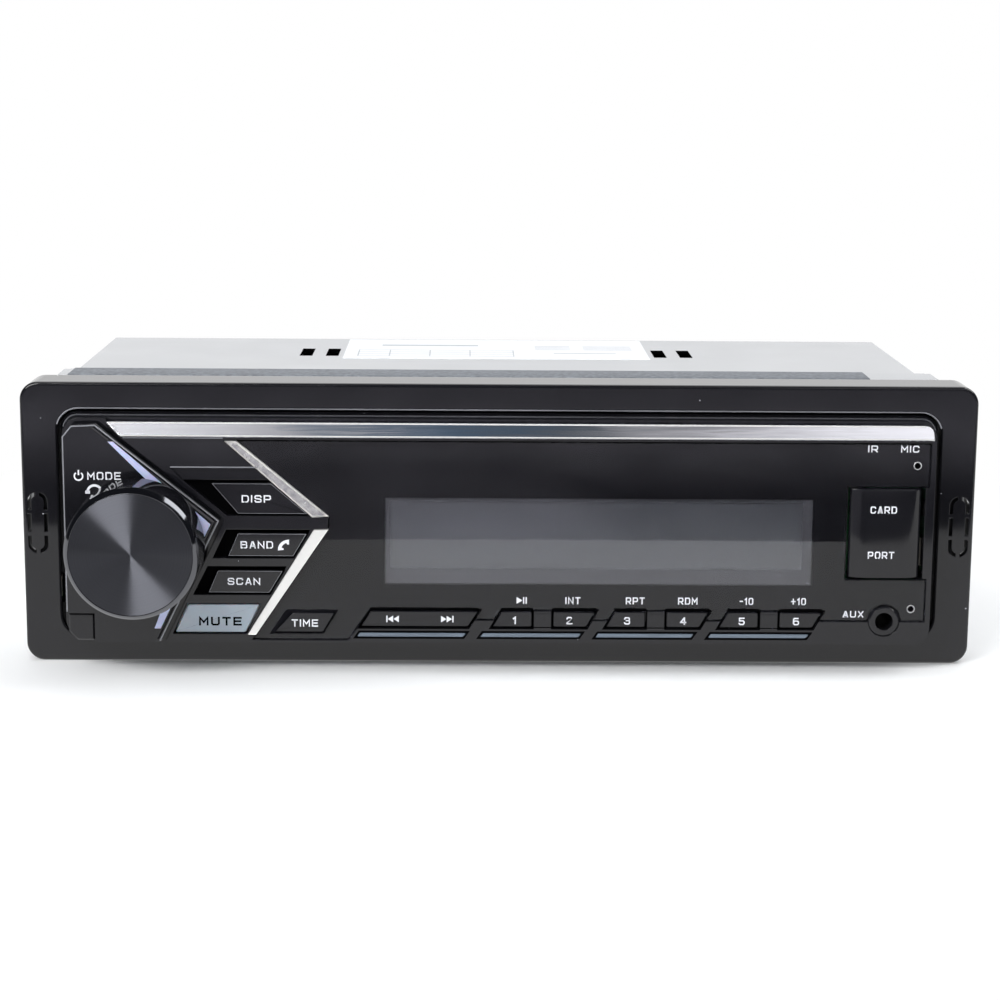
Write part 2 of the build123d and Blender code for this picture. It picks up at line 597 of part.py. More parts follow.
with BuildPart() as side_springs:
    for side in (-1, 1):
        # Leaf seen from above: riveted at the back, bowed outwards to grip the slot
        with BuildSketch(Plane.XY.offset(-2)):
            Polygon(
                (side * HALF_WIDTH, 66), (side * HALF_WIDTH, 58),
                (side * (HALF_WIDTH + 1.4), 42), (side * HALF_WIDTH, 29.5),
                (side * (HALF_WIDTH + 0.5), 29.5), (side * (HALF_WIDTH + 2.0), 42),
                (side * (HALF_WIDTH + 0.5), 58), (side * (HALF_WIDTH + 0.5), 66),
                align=None,
            )
        extrude(amount=12)
save(side_springs, "side_springs")

with BuildPart() as chassis_screws:
    for side in (-1, 1):
        for y, z in (*COVER_SCREWS, *FRAME_SCREWS):
            shank = 1.8 if (y, z) in COVER_SCREWS else 2.6
            with BuildSketch(Plane.YZ.offset(side * HALF_WIDTH)):
                with Locations((y, z)):
                    Circle(SCREW_HEAD_RADIUS)
            extrude(amount=side * 1.4)
            with BuildSketch(Plane.YZ.offset(side * HALF_WIDTH)):
                with Locations((y, z)):
                    Circle(SCREW_RADIUS)
            extrude(amount=-side * shank)
    for x, z in REAR_SCREWS:
        with BuildSketch(behind(REAR_FACE)):
            with Locations((x, z)):
                Circle(2.4)
        extrude(amount=-1.4)
        with BuildSketch(behind(REAR_FACE)):
            with Locations((x, z)):
                Circle(SCREW_RADIUS)
        extrude(amount=SHEET)
save(chassis_screws, "chassis_screws")

# Socket on the chassis and plug on the faceplate: a tongue in a slot
TONGUE_WIDTH, TONGUE_HEIGHT = 28.0, 1.6
SOCKET_GAP = 0.35
with BuildPart() as chassis_connector:
    with BuildSketch(ahead(FRAME_FLOOR - 0.2)):
        with Locations((CONNECTOR_X, CONNECTOR_Z)):
            Rectangle(CONNECTOR_WIDTH, CONNECTOR_HEIGHT)
    extrude(amount=-9)
    with BuildSketch(ahead(FRAME_FLOOR - 0.2)):
        with Locations((CONNECTOR_X, CONNECTOR_Z)):
            Rectangle(TONGUE_WIDTH + 2 * SOCKET_GAP, TONGUE_HEIGHT + 2 * SOCKET_GAP)
    extrude(amount=-6.5, mode=Mode.SUBTRACT)
save(chassis_connector, "chassis_connector")

# ---------------------------------------------------------------- faceplate shells
FACE_SCREW_RADIUS, FACE_SCREW_HEAD, FACE_SCREW_SINK = 1.1, 2.1, 1.4
BOSS_POSITIONS = [(-52, 15.6), (64.2, -12.6), (30, 15.6), (-24, -12.5)]

with BuildPart() as faceplate_housing:
    with BuildSketch(ahead(FACE_BACK)):
        RectangleRounded(FACE_BASE_WIDTH, FACE_BASE_HEIGHT, FACE_CORNER)
    extrude(amount=SHELL_SPLIT - FACE_BACK)
    with BuildSketch(ahead(FACE_BACK + HOUSING_FLOOR)):
        RectangleRounded(FACE_BASE_WIDTH - 3.2, FACE_BASE_HEIGHT - 3.2, FACE_CORNER - 1.6)
    extrude(amount=SHELL_SPLIT, mode=Mode.SUBTRACT)
    # Screw bosses, the plug's window and the latch's side slot
    with BuildSketch(ahead(FACE_BACK + HOUSING_FLOOR)):
        with Locations(*BOSS_POSITIONS):
            Circle(3.0)
    extrude(amount=FRONT_BOARD_BACK - FACE_BACK - HOUSING_FLOOR)
    with BuildSketch(ahead(FACE_BACK)):
        with Locations(*BOSS_POSITIONS):
            Circle(FACE_SCREW_RADIUS)
    extrude(amount=SHELL_SPLIT, mode=Mode.SUBTRACT)
    with BuildSketch(ahead(FACE_BACK)):
        with Locations(*BOSS_POSITIONS):
            Circle(FACE_SCREW_HEAD + 0.1)
    extrude(amount=FACE_SCREW_SINK, mode=Mode.SUBTRACT)
    with BuildSketch(ahead(FACE_BACK)):
        with Locations((CONNECTOR_X, CONNECTOR_Z)):
            Rectangle(TONGUE_WIDTH, TONGUE_HEIGHT + 2)
    extrude(amount=HOUSING_FLOOR, mode=Mode.SUBTRACT)
    with BuildSketch(ahead(4.2)):
        with Locations((-FACE_BASE_WIDTH / 2, LATCH_Z)):
            Rectangle(8, 4.6)
    extrude(amount=3.2, mode=Mode.SUBTRACT)
save(faceplate_housing, "faceplate_housing")

with BuildPart() as face_connector:
    with BuildSketch(ahead(FRONT_BOARD_BACK)):
        with Locations((CONNECTOR_X, CONNECTOR_Z)):
            Rectangle(TONGUE_WIDTH - 2, TONGUE_HEIGHT + 2)
    extrude(amount=FACE_BACK - FRONT_BOARD_BACK)
    with BuildSketch(ahead(FACE_BACK)):
        with Locations((CONNECTOR_X, CONNECTOR_Z)):
            Rectangle(TONGUE_WIDTH, TONGUE_HEIGHT)
    extrude(amount=-6)
save(face_connector, "face_connector")

# ---------------------------------------------------------------- front bezel
BLANK_FLOOR = 17.2
GROOVE = 0.7
KNOB_SEAT = 16.6
ALL_KEYS = {**KEYS, **PRESETS}

with BuildPart() as front_bezel:
    with BuildSketch(ahead(SHELL_SPLIT)):
        RectangleRounded(FACE_BASE_WIDTH, FACE_BASE_HEIGHT, FACE_CORNER)
    extrude(amount=SKIRT_TOP - SHELL_SPLIT)
    with BuildSketch(ahead(SKIRT_TOP)):
        RectangleRounded(FACE_BASE_WIDTH, FACE_BASE_HEIGHT, FACE_CORNER)
    with BuildSketch(ahead(FACE_FRONT)):
        RectangleRounded(FACE_FRONT_WIDTH, FACE_FRONT_HEIGHT, FACE_CORNER)
    loft()
    with BuildSketch(ahead(SHELL_SPLIT)):
        RectangleRounded(FACE_CAVITY_WIDTH, FACE_CAVITY_HEIGHT, FACE_CORNER - 1.4)
    extrude(amount=WALL_BACK - SHELL_SPLIT, mode=Mode.SUBTRACT)
    # Seats: knob panel with its groove, chrome strip, lens, chevron bars
    with BuildSketch(ahead(KNOB_SEAT)):
        Polygon(*KNOB_PANEL_OUTLINE, align=None)
        offset(amount=GROOVE, kind=Kind.INTERSECTION)
        Polygon((-90, 24), (-76.3, 24), (-76.3, 20), (-84, -21), (-90, -24), align=None)
    extrude(amount=4, mode=Mode.SUBTRACT)
    with BuildSketch(ahead(LENS_SEAT)):
        Polygon(*LENS_OUTLINE, align=None)
        offset(amount=0.15, kind=Kind.INTERSECTION)
    extrude(amount=4, mode=Mode.SUBTRACT)
    with BuildSketch(ahead(LENS_SEAT)):
        Polygon(*UPPER_BAR, align=None)
        Polygon(*LOWER_BAR, align=None)
        offset(amount=0.1, kind=Kind.INTERSECTION)
    extrude(amount=4, mode=Mode.SUBTRACT)
    with BuildSketch(ahead(STRIP_SEAT)):
        with Locations((0, STRIP_BOTTOM)):
            Rectangle(180, 10, align=(Align.CENTER, Align.MIN))
        with Locations((-90, 0)):
            Rectangle(2 * (90 + STRIP_LEFT), 60, mode=Mode.SUBTRACT)
    extrude(amount=8, mode=Mode.SUBTRACT)
    # Step below the blank panel, then a recess and a hole for each key
    with BuildSketch(ahead(BLANK_FLOOR)):
        Polygon(*BLANK_STEP, align=None)
    extrude(amount=2, mode=Mode.SUBTRACT)
    with BuildSketch(ahead(RECESS_FLOOR)):
        for corners in RECESSES.values():
            Polygon(*corners, align=None)
    extrude(amount=2, mode=Mode.SUBTRACT)
    with BuildSketch(ahead(LENS_SEAT)):
        for pair in range(PAIR_COUNT):
            Polygon(*shifted(PAIR_FILLER, PAIR_LEFT + pair * PAIR_PITCH), align=None)
    extrude(amount=2, mode=Mode.SUBTRACT)
    with BuildSketch(ahead(WALL_BACK)):
        for corners in (*ALL_KEYS.values(), ROCKER):
            Polygon(*corners, align=None)
        offset(amount=KEY_GAP, kind=Kind.INTERSECTION)
    extrude(amount=4, mode=Mode.SUBTRACT)
    # Light bars, display window, media bay, knob bush, socket and pin holes
    with BuildSketch(ahead(WALL_BACK)):
        for left, right in LIGHT_BAR_ENDS:
            Polygon(
                (left, LIGHT_BAR_BOTTOM), (right - LIGHT_BAR_SLANT, LIGHT_BAR_BOTTOM),
                (right, LIGHT_BAR_TOP), (left + LIGHT_BAR_SLANT, LIGHT_BAR_TOP), align=None,
            )
        with Locations(((LCD_LEFT + LCD_RIGHT) / 2, (LCD_BOTTOM + LCD_TOP) / 2)):
            Rectangle(LCD_RIGHT - LCD_LEFT, LCD_TOP - LCD_BOTTOM)
        with Locations(((BAY_LEFT + BAY_RIGHT) / 2, (BAY_BOTTOM + BAY_TOP) / 2)):
            Rectangle(BAY_RIGHT - BAY_LEFT, BAY_TOP - BAY_BOTTOM)
        with Locations((KNOB_X, KNOB_Z)):
            Circle(4.2)
        with Locations((AUX_X, AUX_Z)):
            Circle(3.05)
        with Locations((MIC_X, MIC_Z), (RESET_X, RESET_Z)):
            Circle(PIN_HOLE_RADIUS)
        with Locations((IR_X, IR_Z)):
            Circle(2.0)
    extrude(amount=4, mode=Mode.SUBTRACT)
    # Release button opening in the lower left corner, deep enough for its travel
    with BuildSketch(ahead(WALL_BACK - RELEASE_TRAVEL - 0.2)):
        Polygon(*BUTTON_CORNER, align=None)
    extrude(amount=8, mode=Mode.SUBTRACT)
    # Walls of the media bay, from the front wall back to the board
    with BuildSketch(ahead(WALL_BACK)):
        with Locations(((BAY_LEFT + BAY_RIGHT) / 2, (BAY_BOTTOM + BAY_TOP) / 2)):
            Rectangle(BAY_RIGHT - BAY_LEFT + 1.4, BAY_TOP - BAY_BOTTOM + 1.4)
            Rectangle(BAY_RIGHT - BAY_LEFT, BAY_TOP - BAY_BOTTOM, mode=Mode.SUBTRACT)
    extrude(amount=FRONT_BOARD_FRONT - WALL_BACK)
    # Bosses behind the wall: rocker pivot above and below, door pins above and below
    with BuildSketch(ahead(WALL_BACK)):
        with Locations((ROCKER_AXIS_X, -14.1), (ROCKER_AXIS_X, -20.2)):
            Rectangle(2.6, 1.4)
    extrude(amount=-2.0)
    with BuildSketch(Plane.XY.offset(-20.9)):
        with Locations((ROCKER_AXIS_X, -ROCKER_AXIS_AHEAD)):
            Circle(ROCKER_PIN_RADIUS + SHAFT_PLAY)
    extrude(amount=7.5, mode=Mode.SUBTRACT)
    with BuildSketch(Plane.XY.offset(BAY_BOTTOM - 1.3)):
        with Locations((DOOR_AXIS_X, -DOOR_AXIS_AHEAD)):
            Circle(DOOR_PIN_RADIUS + SHAFT_PLAY)
    extrude(amount=BAY_TOP - BAY_BOTTOM + 2.6, mode=Mode.SUBTRACT)
    # Screw posts that meet the front board
    with BuildSketch(ahead(WALL_BACK)):
        with Locations(*BOSS_POSITIONS):
            Circle(2.4)
            Circle(FACE_SCREW_RADIUS, mode=Mode.SUBTRACT)
    extrude(amount=FRONT_BOARD_FRONT - WALL_BACK)
save(front_bezel, "front_bezel")

# ---------------------------------------------------------------- front trim pieces
with BuildPart() as lens:
    with BuildSketch(ahead(LENS_SEAT)):
        Polygon(*LENS_OUTLINE, align=None)
        Polygon(*RECESSES["key_clock"], align=None, mode=Mode.SUBTRACT)
        with Locations((AUX_X, AUX_Z)):
            Circle(3.15, mode=Mode.SUBTRACT)
        with Locations((MIC_X, MIC_Z), (RESET_X, RESET_Z)):
            Circle(PIN_HOLE_RADIUS, mode=Mode.SUBTRACT)
    extrude(amount=FACE_FRONT - LENS_SEAT)
    chamfer(lens.faces().sort_by(Axis.Y)[0].outer_wire().edges(), length=0.18)
save(lens, "lens")

with BuildPart() as chrome_strip:
    # Sloping section swept straight across, cut to a slant on the left
    with BuildSketch(Plane.YZ.offset(STRIP_LEFT)):
        Polygon(
            (-STRIP_SEAT, STRIP_BOTTOM), (-STRIP_FRONT + 0.3, STRIP_BOTTOM),
            (-STRIP_FRONT, STRIP_BOTTOM + 0.3), (-STRIP_BACK - 0.3, STRIP_TOP),
            (-STRIP_SEAT, STRIP_TOP), align=None,
        )
    extrude(amount=STRIP_RIGHT - STRIP_LEFT)
    with BuildSketch(ahead(0)):
        Polygon(
            (STRIP_LEFT - 1, STRIP_TOP + 1), (STRIP_LEFT - 0.8, STRIP_TOP + 0.6),
            (STRIP_LEFT + 3.0, STRIP_BOTTOM - 0.1), (STRIP_LEFT - 1, STRIP_BOTTOM - 0.1),
            align=None,
        )
    extrude(amount=30, mode=Mode.SUBTRACT)
    corner = chrome_strip.edges().filter_by(Axis.Y).sort_by(Axis.X)[-1]
    fillet(corner, radius=1.7)
save(chrome_strip, "chrome_strip")

with BuildPart() as chevron_bars:
    for corners in (UPPER_BAR, LOWER_BAR):
        with BuildSketch(ahead(LENS_SEAT)):
            Polygon(*corners, align=None)
        extrude(amount=BAR_FRONT - LENS_SEAT)
    fronts = chevron_bars.faces().filter_by(lambda f: abs(f.center().Y + BAR_FRONT) < 0.01)
    chamfer(fronts.edges(), length=0.3)
save(chevron_bars, "chevron_bars")

with BuildPart() as knob_panel:
    with BuildSketch(ahead(KNOB_SEAT)):
        Polygon(*KNOB_PANEL_OUTLINE, align=None)
        with Locations((KNOB_X, KNOB_Z)):
            Circle(4.2, mode=Mode.SUBTRACT)
    extrude(amount=KNOB_PANEL_FRONT - KNOB_SEAT)
    panel_front = knob_panel.faces().sort_by(Axis.Y)[0]
    ridge = [
        edge for edge in panel_front.outer_wire().edges()
        if edge.length > 20 and edge.center().X > -75
    ]
    chamfer(ridge, length=0.8, length2=1.15)
    with BuildSketch(ahead(GUIDE_BACK)):
        Polygon(*LIGHT_GUIDE_OUTLINE, align=None)
    extrude(amount=4, mode=Mode.SUBTRACT)
save(knob_panel, "knob_panel")

with BuildPart() as light_guide:
    with BuildSketch(ahead(GUIDE_BACK)):
        Polygon(*LIGHT_GUIDE_OUTLINE, align=None)
    extrude(amount=KNOB_PANEL_FRONT - GUIDE_BACK)
save(light_guide, "light_guide")

with BuildPart() as key_light_bars:
    for left, right in LIGHT_BAR_ENDS:
        with BuildSketch(ahead(WALL_BACK)):
            Polygon(
                (left, LIGHT_BAR_BOTTOM), (right - LIGHT_BAR_SLANT, LIGHT_BAR_BOTTOM),
                (right, LIGHT_BAR_TOP), (left + LIGHT_BAR_SLANT, LIGHT_BAR_TOP), align=None,
            )
        extrude(amount=FACE_FRONT + 0.1 - WALL_BACK)
save(key_light_bars, "key_light_bars")

# ---------------------------------------------------------------- display
VIEW_LEFT, VIEW_RIGHT = -21.4, 59.0
VIEW_BOTTOM, VIEW_TOP = -7.3, 6.0
LCD_FRAME_FRONT, LCD_GLASS_FRONT, LCD_GLASS_BACK = 16.6, 16.3, 15.4
FIT = 0.1

with BuildPart() as lcd_frame:
    with BuildSketch(ahead(FRONT_BOARD_FRONT)):
        with Locations(((LCD_LEFT + LCD_RIGHT) / 2, (LCD_BOTTOM + LCD_TOP) / 2)):
            Rectangle(LCD_RIGHT - LCD_LEFT - 2 * FIT, LCD_TOP - LCD_BOTTOM - 2 * FIT)
    extrude(amount=LCD_FRAME_FRONT - FRONT_BOARD_FRONT)
    with BuildSketch(ahead(LCD_GLASS_BACK)):
        with Locations(((VIEW_LEFT + VIEW_RIGHT) / 2, (VIEW_BOTTOM + VIEW_TOP) / 2)):
            Rectangle(VIEW_RIGHT - VIEW_LEFT, VIEW_TOP - VIEW_BOTTOM)
    extrude(amount=4, mode=Mode.SUBTRACT)
save(lcd_frame, "lcd_frame")

with BuildPart() as lcd_panel:
    with BuildSketch(ahead(LCD_GLASS_BACK)):
        with Locations(((VIEW_LEFT + VIEW_RIGHT) / 2, (VIEW_BOTTOM + VIEW_TOP) / 2)):
            Rectangle(VIEW_RIGHT - VIEW_LEFT, VIEW_TOP - VIEW_BOTTOM)
    extrude(amount=LCD_GLASS_FRONT - LCD_GLASS_BACK)
save(lcd_panel, "lcd_panel")

# ---------------------------------------------------------------- front board and its parts
USB_X, USB_Z = 76.0, -4.2
CARD_X, CARD_Z = 75.6, 4.3
SOCKET_FRONT = 13.6
AUX_BODY = (6.6, 6.0)

with BuildPart() as front_board:
    with BuildSketch(ahead(FRONT_BOARD_BACK)):
        RectangleRounded(FACE_CAVITY_WIDTH - 1, FACE_CAVITY_HEIGHT - 1, FACE_CORNER - 1.4)
        with Locations(*BOSS_POSITIONS):
            Circle(FACE_SCREW_RADIUS, mode=Mode.SUBTRACT)
        with Locations((USB_X, USB_Z)):
            Rectangle(13.1, 5.7, mode=Mode.SUBTRACT)
        with Locations((CARD_X, CARD_Z)):
            Rectangle(13.0, 2.6, mode=Mode.SUBTRACT)
        with Locations((AUX_X, AUX_Z)):
            Rectangle(*AUX_BODY, mode=Mode.SUBTRACT)
        Polygon(*BUTTON_CORNER, align=None, mode=Mode.SUBTRACT)
    extrude(amount=BOARD_THICKNESS)
save(front_board, "front_board")

with BuildPart() as encoder:
    with BuildSketch(ahead(FRONT_BOARD_FRONT)):
        with Locations((KNOB_X, KNOB_Z)):
            RectangleRounded(12, 12, 0.5)
    extrude(amount=5)
    with BuildSketch(ahead(FRONT_BOARD_FRONT)):
        with Locations((KNOB_X, KNOB_Z)):
            Circle(4.0)
    extrude(amount=8.6)
    with BuildSketch(ahead(FRONT_BOARD_FRONT + 0.3)):
        with Locations((KNOB_X, KNOB_Z)):
            Circle(3.6)
    extrude(amount=1.7, mode=Mode.SUBTRACT)
    with BuildSketch(ahead(FRONT_BOARD_FRONT + 0.3)):
        with Locations((KNOB_X, KNOB_Z)):
            Circle(SHAFT_RADIUS + SHAFT_PLAY)
    extrude(amount=10, mode=Mode.SUBTRACT)
save(encoder, "encoder")

PLUNGER_DISC_BACK = FRONT_BOARD_FRONT + 0.9
PLUNGER_DISC_FRONT = PLUNGER_DISC_BACK + 1.0
with BuildPart() as encoder_plunger:
    with BuildSketch(ahead(PLUNGER_DISC_BACK)):
        with Locations((KNOB_X, KNOB_Z)):
            Circle(3.4)
            Circle(1.55, mode=Mode.SUBTRACT)
    extrude(amount=PLUNGER_DISC_FRONT - PLUNGER_DISC_BACK)
save(encoder_plunger, "encoder_plunger")

SWITCH_SIZE, SWITCH_HEIGHT, SWITCH_BUTTON = 4.5, 2.0, 2.4
RESET_SWITCH_SIZE = 3.4
ROCKER_PUSHES = [(ROCKER_AXIS_X - 5.3, -17.2), (ROCKER_AXIS_X + 5.3, -17.2)]
SWITCH_SPOTS = [centre(corners) for corners in ALL_KEYS.values()] + ROCKER_PUSHES
with BuildPart() as tact_switches:
    with BuildSketch(ahead(FRONT_BOARD_FRONT)):
        with Locations(*SWITCH_SPOTS):
            Rectangle(SWITCH_SIZE, SWITCH_SIZE)
        with Locations((RESET_X, RESET_Z)):
            Rectangle(RESET_SWITCH_SIZE, RESET_SWITCH_SIZE)
    extrude(amount=SWITCH_HEIGHT)
    with BuildSketch(ahead(FRONT_BOARD_FRONT + SWITCH_HEIGHT)):
        with Locations(*SWITCH_SPOTS, (RESET_X, RESET_Z)):
            Circle(0.7)
    extrude(amount=SWITCH_BUTTON - SWITCH_HEIGHT)
save(tact_switches, "tact_switches")

with BuildPart() as usb_socket:
    with BuildSketch(ahead(FACE_BACK + 2)):
        with Locations((USB_X, USB_Z)):
            Rectangle(13.1, 5.7)
    extrude(amount=SOCKET_FRONT - FACE_BACK - 2)
    with BuildSketch(ahead(FACE_BACK + 4)):
        with Locations((USB_X, USB_Z)):
            Rectangle(12.4, 5.0)
        with Locations((USB_X, USB_Z + 1.0)):
            Rectangle(11.0, 1.8, mode=Mode.SUBTRACT)
    extrude(amount=SOCKET_FRONT, mode=Mode.SUBTRACT)
save(usb_socket, "usb_socket")

with BuildPart() as card_socket:
    with BuildSketch(ahead(FACE_BACK + 3)):
        with Locations((CARD_X, CARD_Z)):
            Rectangle(13.0, 2.6)
    extrude(amount=SOCKET_FRONT - FACE_BACK - 3)
    with BuildSketch(ahead(FACE_BACK + 5)):
        with Locations((CARD_X, CARD_Z)):
            Rectangle(11.4, 1.1)
    extrude(amount=SOCKET_FRONT, mode=Mode.SUBTRACT)
save(card_socket, "card_socket")

AUX_FRONT, AUX_DEPTH = 18.2, 13.4
with BuildPart() as aux_jack:
    with BuildSketch(ahead(FACE_BACK + 2)):
        with Locations((AUX_X, AUX_Z)):
            Rectangle(*AUX_BODY)
    extrude(amount=WALL_BACK - FACE_BACK - 2)
    with BuildSketch(ahead(WALL_BACK)):
        with Locations((AUX_X, AUX_Z)):
            Circle(3.0)
    extrude(amount=AUX_FRONT - WALL_BACK)
    chamfer(aux_jack.faces().sort_by(Axis.Y)[0].edges(), length=0.3)
    with BuildSketch(ahead(AUX_FRONT)):
        with Locations((AUX_X, AUX_Z)):
            Circle(AUX_BORE_RADIUS)
    extrude(amount=-AUX_DEPTH, mode=Mode.SUBTRACT)
save(aux_jack, "aux_jack")

with BuildPart() as microphone:
    with BuildSketch(ahead(FRONT_BOARD_FRONT)):
        with Locations((MIC_X, MIC_Z)):
            Circle(2.0)
    extrude(amount=WALL_BACK - FRONT_BOARD_FRONT)
    with BuildSketch(ahead(WALL_BACK)):
        with Locations((MIC_X, MIC_Z)):
            Circle(PIN_HOLE_RADIUS)
    extrude(amount=-1.5, mode=Mode.SUBTRACT)
save(microphone, "microphone")

with BuildPart() as ir_receiver:
    with BuildSketch(ahead(FRONT_BOARD_FRONT)):
        with Locations((IR_X, IR_Z)):
            Rectangle(5.0, 4.2)
    extrude(amount=3.6)
    with BuildSketch(ahead(FRONT_BOARD_FRONT + 3.6)):
        with Locations((IR_X, IR_Z)):
            Circle(1.8)
    extrude(amount=1.4)
    fillet(ir_receiver.faces().sort_by(Axis.Y)[0].edges(), radius=1.2)
save(ir_receiver, "ir_receiver")

with BuildPart() as faceplate_screws:
    with BuildSketch(ahead(FACE_BACK)):
        with Locations(*BOSS_POSITIONS):
            Circle(FACE_SCREW_HEAD)
    extrude(amount=FACE_SCREW_SINK)
    with BuildSketch(ahead(FACE_BACK)):
        with Locations(*BOSS_POSITIONS):
            Circle(FACE_SCREW_RADIUS)
    extrude(amount=12)
save(faceplate_screws, "faceplate_screws")

# ---------------------------------------------------------------- volume knob
KNOB_AXIS = Axis((KNOB_X, 0, KNOB_Z), (0, 1, 0))
KNOB_SECTION = Plane(origin=(KNOB_X, 0, KNOB_Z), x_dir=(1, 0, 0), z_dir=(0, 0, 1))
CAP_THICKNESS = 0.6

with BuildPart() as knob_shaft:
    with BuildSketch(ahead(PLUNGER_DISC_FRONT + 0.05)):
        with Locations((KNOB_X, KNOB_Z)):
            Circle(SHAFT_RADIUS)
    extrude(amount=KNOB_FRONT - 2.4 - PLUNGER_DISC_FRONT - 0.05)
    with BuildSketch(ahead(PLUNGER_DISC_BACK + 0.1)):
        with Locations((KNOB_X, KNOB_Z)):
            Circle(1.5)
    extrude(amount=2)
save(knob_shaft, "knob_shaft")

with BuildPart() as knob_body:
    with BuildSketch(KNOB_SECTION):
        Polygon(
            (SHAFT_RADIUS, -KNOB_BACK - 0.6), (4.8, -KNOB_BACK - 0.6), (4.8, -KNOB_FRONT + 3.2),
            (10.9, -KNOB_FRONT + 3.2), (11.4, -KNOB_BACK), (KNOB_BASE_RADIUS, -KNOB_BACK),
            (KNOB_RIM_RADIUS, -KNOB_FRONT + KNOB_RIM_DEPTH), (KNOB_FACE_RADIUS + 0.1, -KNOB_FRONT),
            (KNOB_FACE_RADIUS, -KNOB_FRONT), (KNOB_FACE_RADIUS, -KNOB_FRONT + CAP_THICKNESS),
            (0, -KNOB_FRONT + CAP_THICKNESS), (0, -KNOB_FRONT + 2.4),
            (SHAFT_RADIUS, -KNOB_FRONT + 2.4), align=None,
        )
    revolve(axis=KNOB_AXIS)
save(knob_body, "knob_body")

with BuildPart() as knob_cap:
    with BuildSketch(ahead(KNOB_FRONT - CAP_THICKNESS)):
        with Locations((KNOB_X, KNOB_Z)):
            Circle(KNOB_FACE_RADIUS)
    extrude(amount=CAP_THICKNESS)
    chamfer(knob_cap.faces().sort_by(Axis.Y)[0].edges(), length=0.12)
save(knob_cap, "knob_cap")

# ---------------------------------------------------------------- keys
for name, corners in ALL_KEYS.items():
    with BuildPart() as key:
        with BuildSketch(ahead(KEY_FLANGE_TOP)):
            Polygon(*corners, align=None)
        extrude(amount=KEY_FRONT - KEY_FLANGE_TOP)
        chamfer(key.faces().sort_by(Axis.Y)[0].edges(), length=0.3)
        with BuildSketch(ahead(KEY_FLANGE_TOP - KEY_FLANGE_THICKNESS)):
            Polygon(*corners, align=None)
            offset(amount=KEY_FLANGE, kind=Kind.INTERSECTION)
        extrude(amount=KEY_FLANGE_THICKNESS)
        with BuildSketch(ahead(PLUNGER_BACK)):
            with Locations(centre(corners)):
                Circle(PLUNGER_RADIUS)
        extrude(amount=KEY_FLANGE_TOP - KEY_FLANGE_THICKNESS - PLUNGER_BACK)
    save(key, name)

with BuildPart() as seek_rocker:
    with BuildSketch(ahead(KEY_FLANGE_TOP)):
        Polygon(*ROCKER, align=None)
    extrude(amount=KEY_FRONT - KEY_FLANGE_TOP)
    chamfer(seek_rocker.faces().sort_by(Axis.Y)[0].edges(), length=0.3)
    with BuildSketch(ahead(KEY_FLANGE_TOP - KEY_FLANGE_THICKNESS)):
        Polygon(*ROCKER, align=None)
        offset(amount=KEY_FLANGE, kind=Kind.INTERSECTION)
    extrude(amount=KEY_FLANGE_THICKNESS)
    with BuildSketch(ahead(PLUNGER_BACK)):
        with Locations(*ROCKER_PUSHES):
            Circle(PLUNGER_RADIUS)
    extrude(amount=KEY_FLANGE_TOP - KEY_FLANGE_THICKNESS - PLUNGER_BACK)
    with BuildSketch(Plane.XY.offset(-20.7)):
        with Locations((ROCKER_AXIS_X, -ROCKER_AXIS_AHEAD)):
            Circle(ROCKER_PIN_RADIUS)
    extrude(amount=7.1)
save(seek_rocker, "seek_rocker")

# ---------------------------------------------------------------- faceplate release
BUTTON_OUTLINE = [(-84.1, -16.4), (-79.2, -16.4), (-79.2, -21.7), (-82.4, -21.7), (-84.1, -20.0)]
STEM_LEFT, STEM_RIGHT, STEM_TIP = -82.6, -80.9, 5.8
LATCH_BACK, LATCH_FRONT = 4.6, 7.0
LATCH_TIP, LATCH_END = -86.5, -79.0
WEDGE_GAP = 0.2

with BuildPart() as release_button:
    with BuildSketch(ahead(WALL_BACK + 0.2)):
        Polygon(*BUTTON_OUTLINE, align=None)
    extrude(amount=FACE_FRONT - WALL_BACK - 0.2)
    chamfer(release_button.faces().sort_by(Axis.Y)[0].edges(), length=0.25)
    # Stem with a 45 degree wedge at its tip
    with BuildSketch(Plane.XY.offset(-19.6)):
        Polygon(
            (STEM_LEFT, -WALL_BACK - 0.2), (STEM_RIGHT, -WALL_BACK - 0.2),
            (STEM_RIGHT, -STEM_TIP - 1.1), (STEM_RIGHT - 1.1, -STEM_TIP), (STEM_LEFT, -STEM_TIP),
            align=None,
        )
    extrude(amount=2.4)
save(release_button, "release_button")

wedge_line = STEM_TIP - (STEM_RIGHT - 1.1) - WEDGE_GAP
with BuildPart() as release_latch:
    # Bar behind the side slot, bridge, and the sloped tail that the wedge pushes
    with BuildSketch(ahead(LATCH_BACK)):
        with Locations(((LATCH_TIP + LATCH_END) / 2, LATCH_Z)):
            Rectangle(LATCH_END - LATCH_TIP, 4.0)
        Polygon(
            (LATCH_END - 1.4, LATCH_Z), (LATCH_END, LATCH_Z), (LATCH_END, -20.0),
            (LATCH_END - 1.4, -20.0), align=None,
        )
    extrude(amount=LATCH_FRONT - LATCH_BACK)
    with BuildSketch(Plane.XY.offset(-20.0)):
        Polygon(
            (LATCH_BACK - wedge_line, -LATCH_BACK), (LATCH_END, -LATCH_BACK),
            (LATCH_END, -LATCH_FRONT), (LATCH_FRONT - wedge_line, -LATCH_FRONT), align=None,
        )
    extrude(amount=2.6)
save(release_latch, "release_latch")

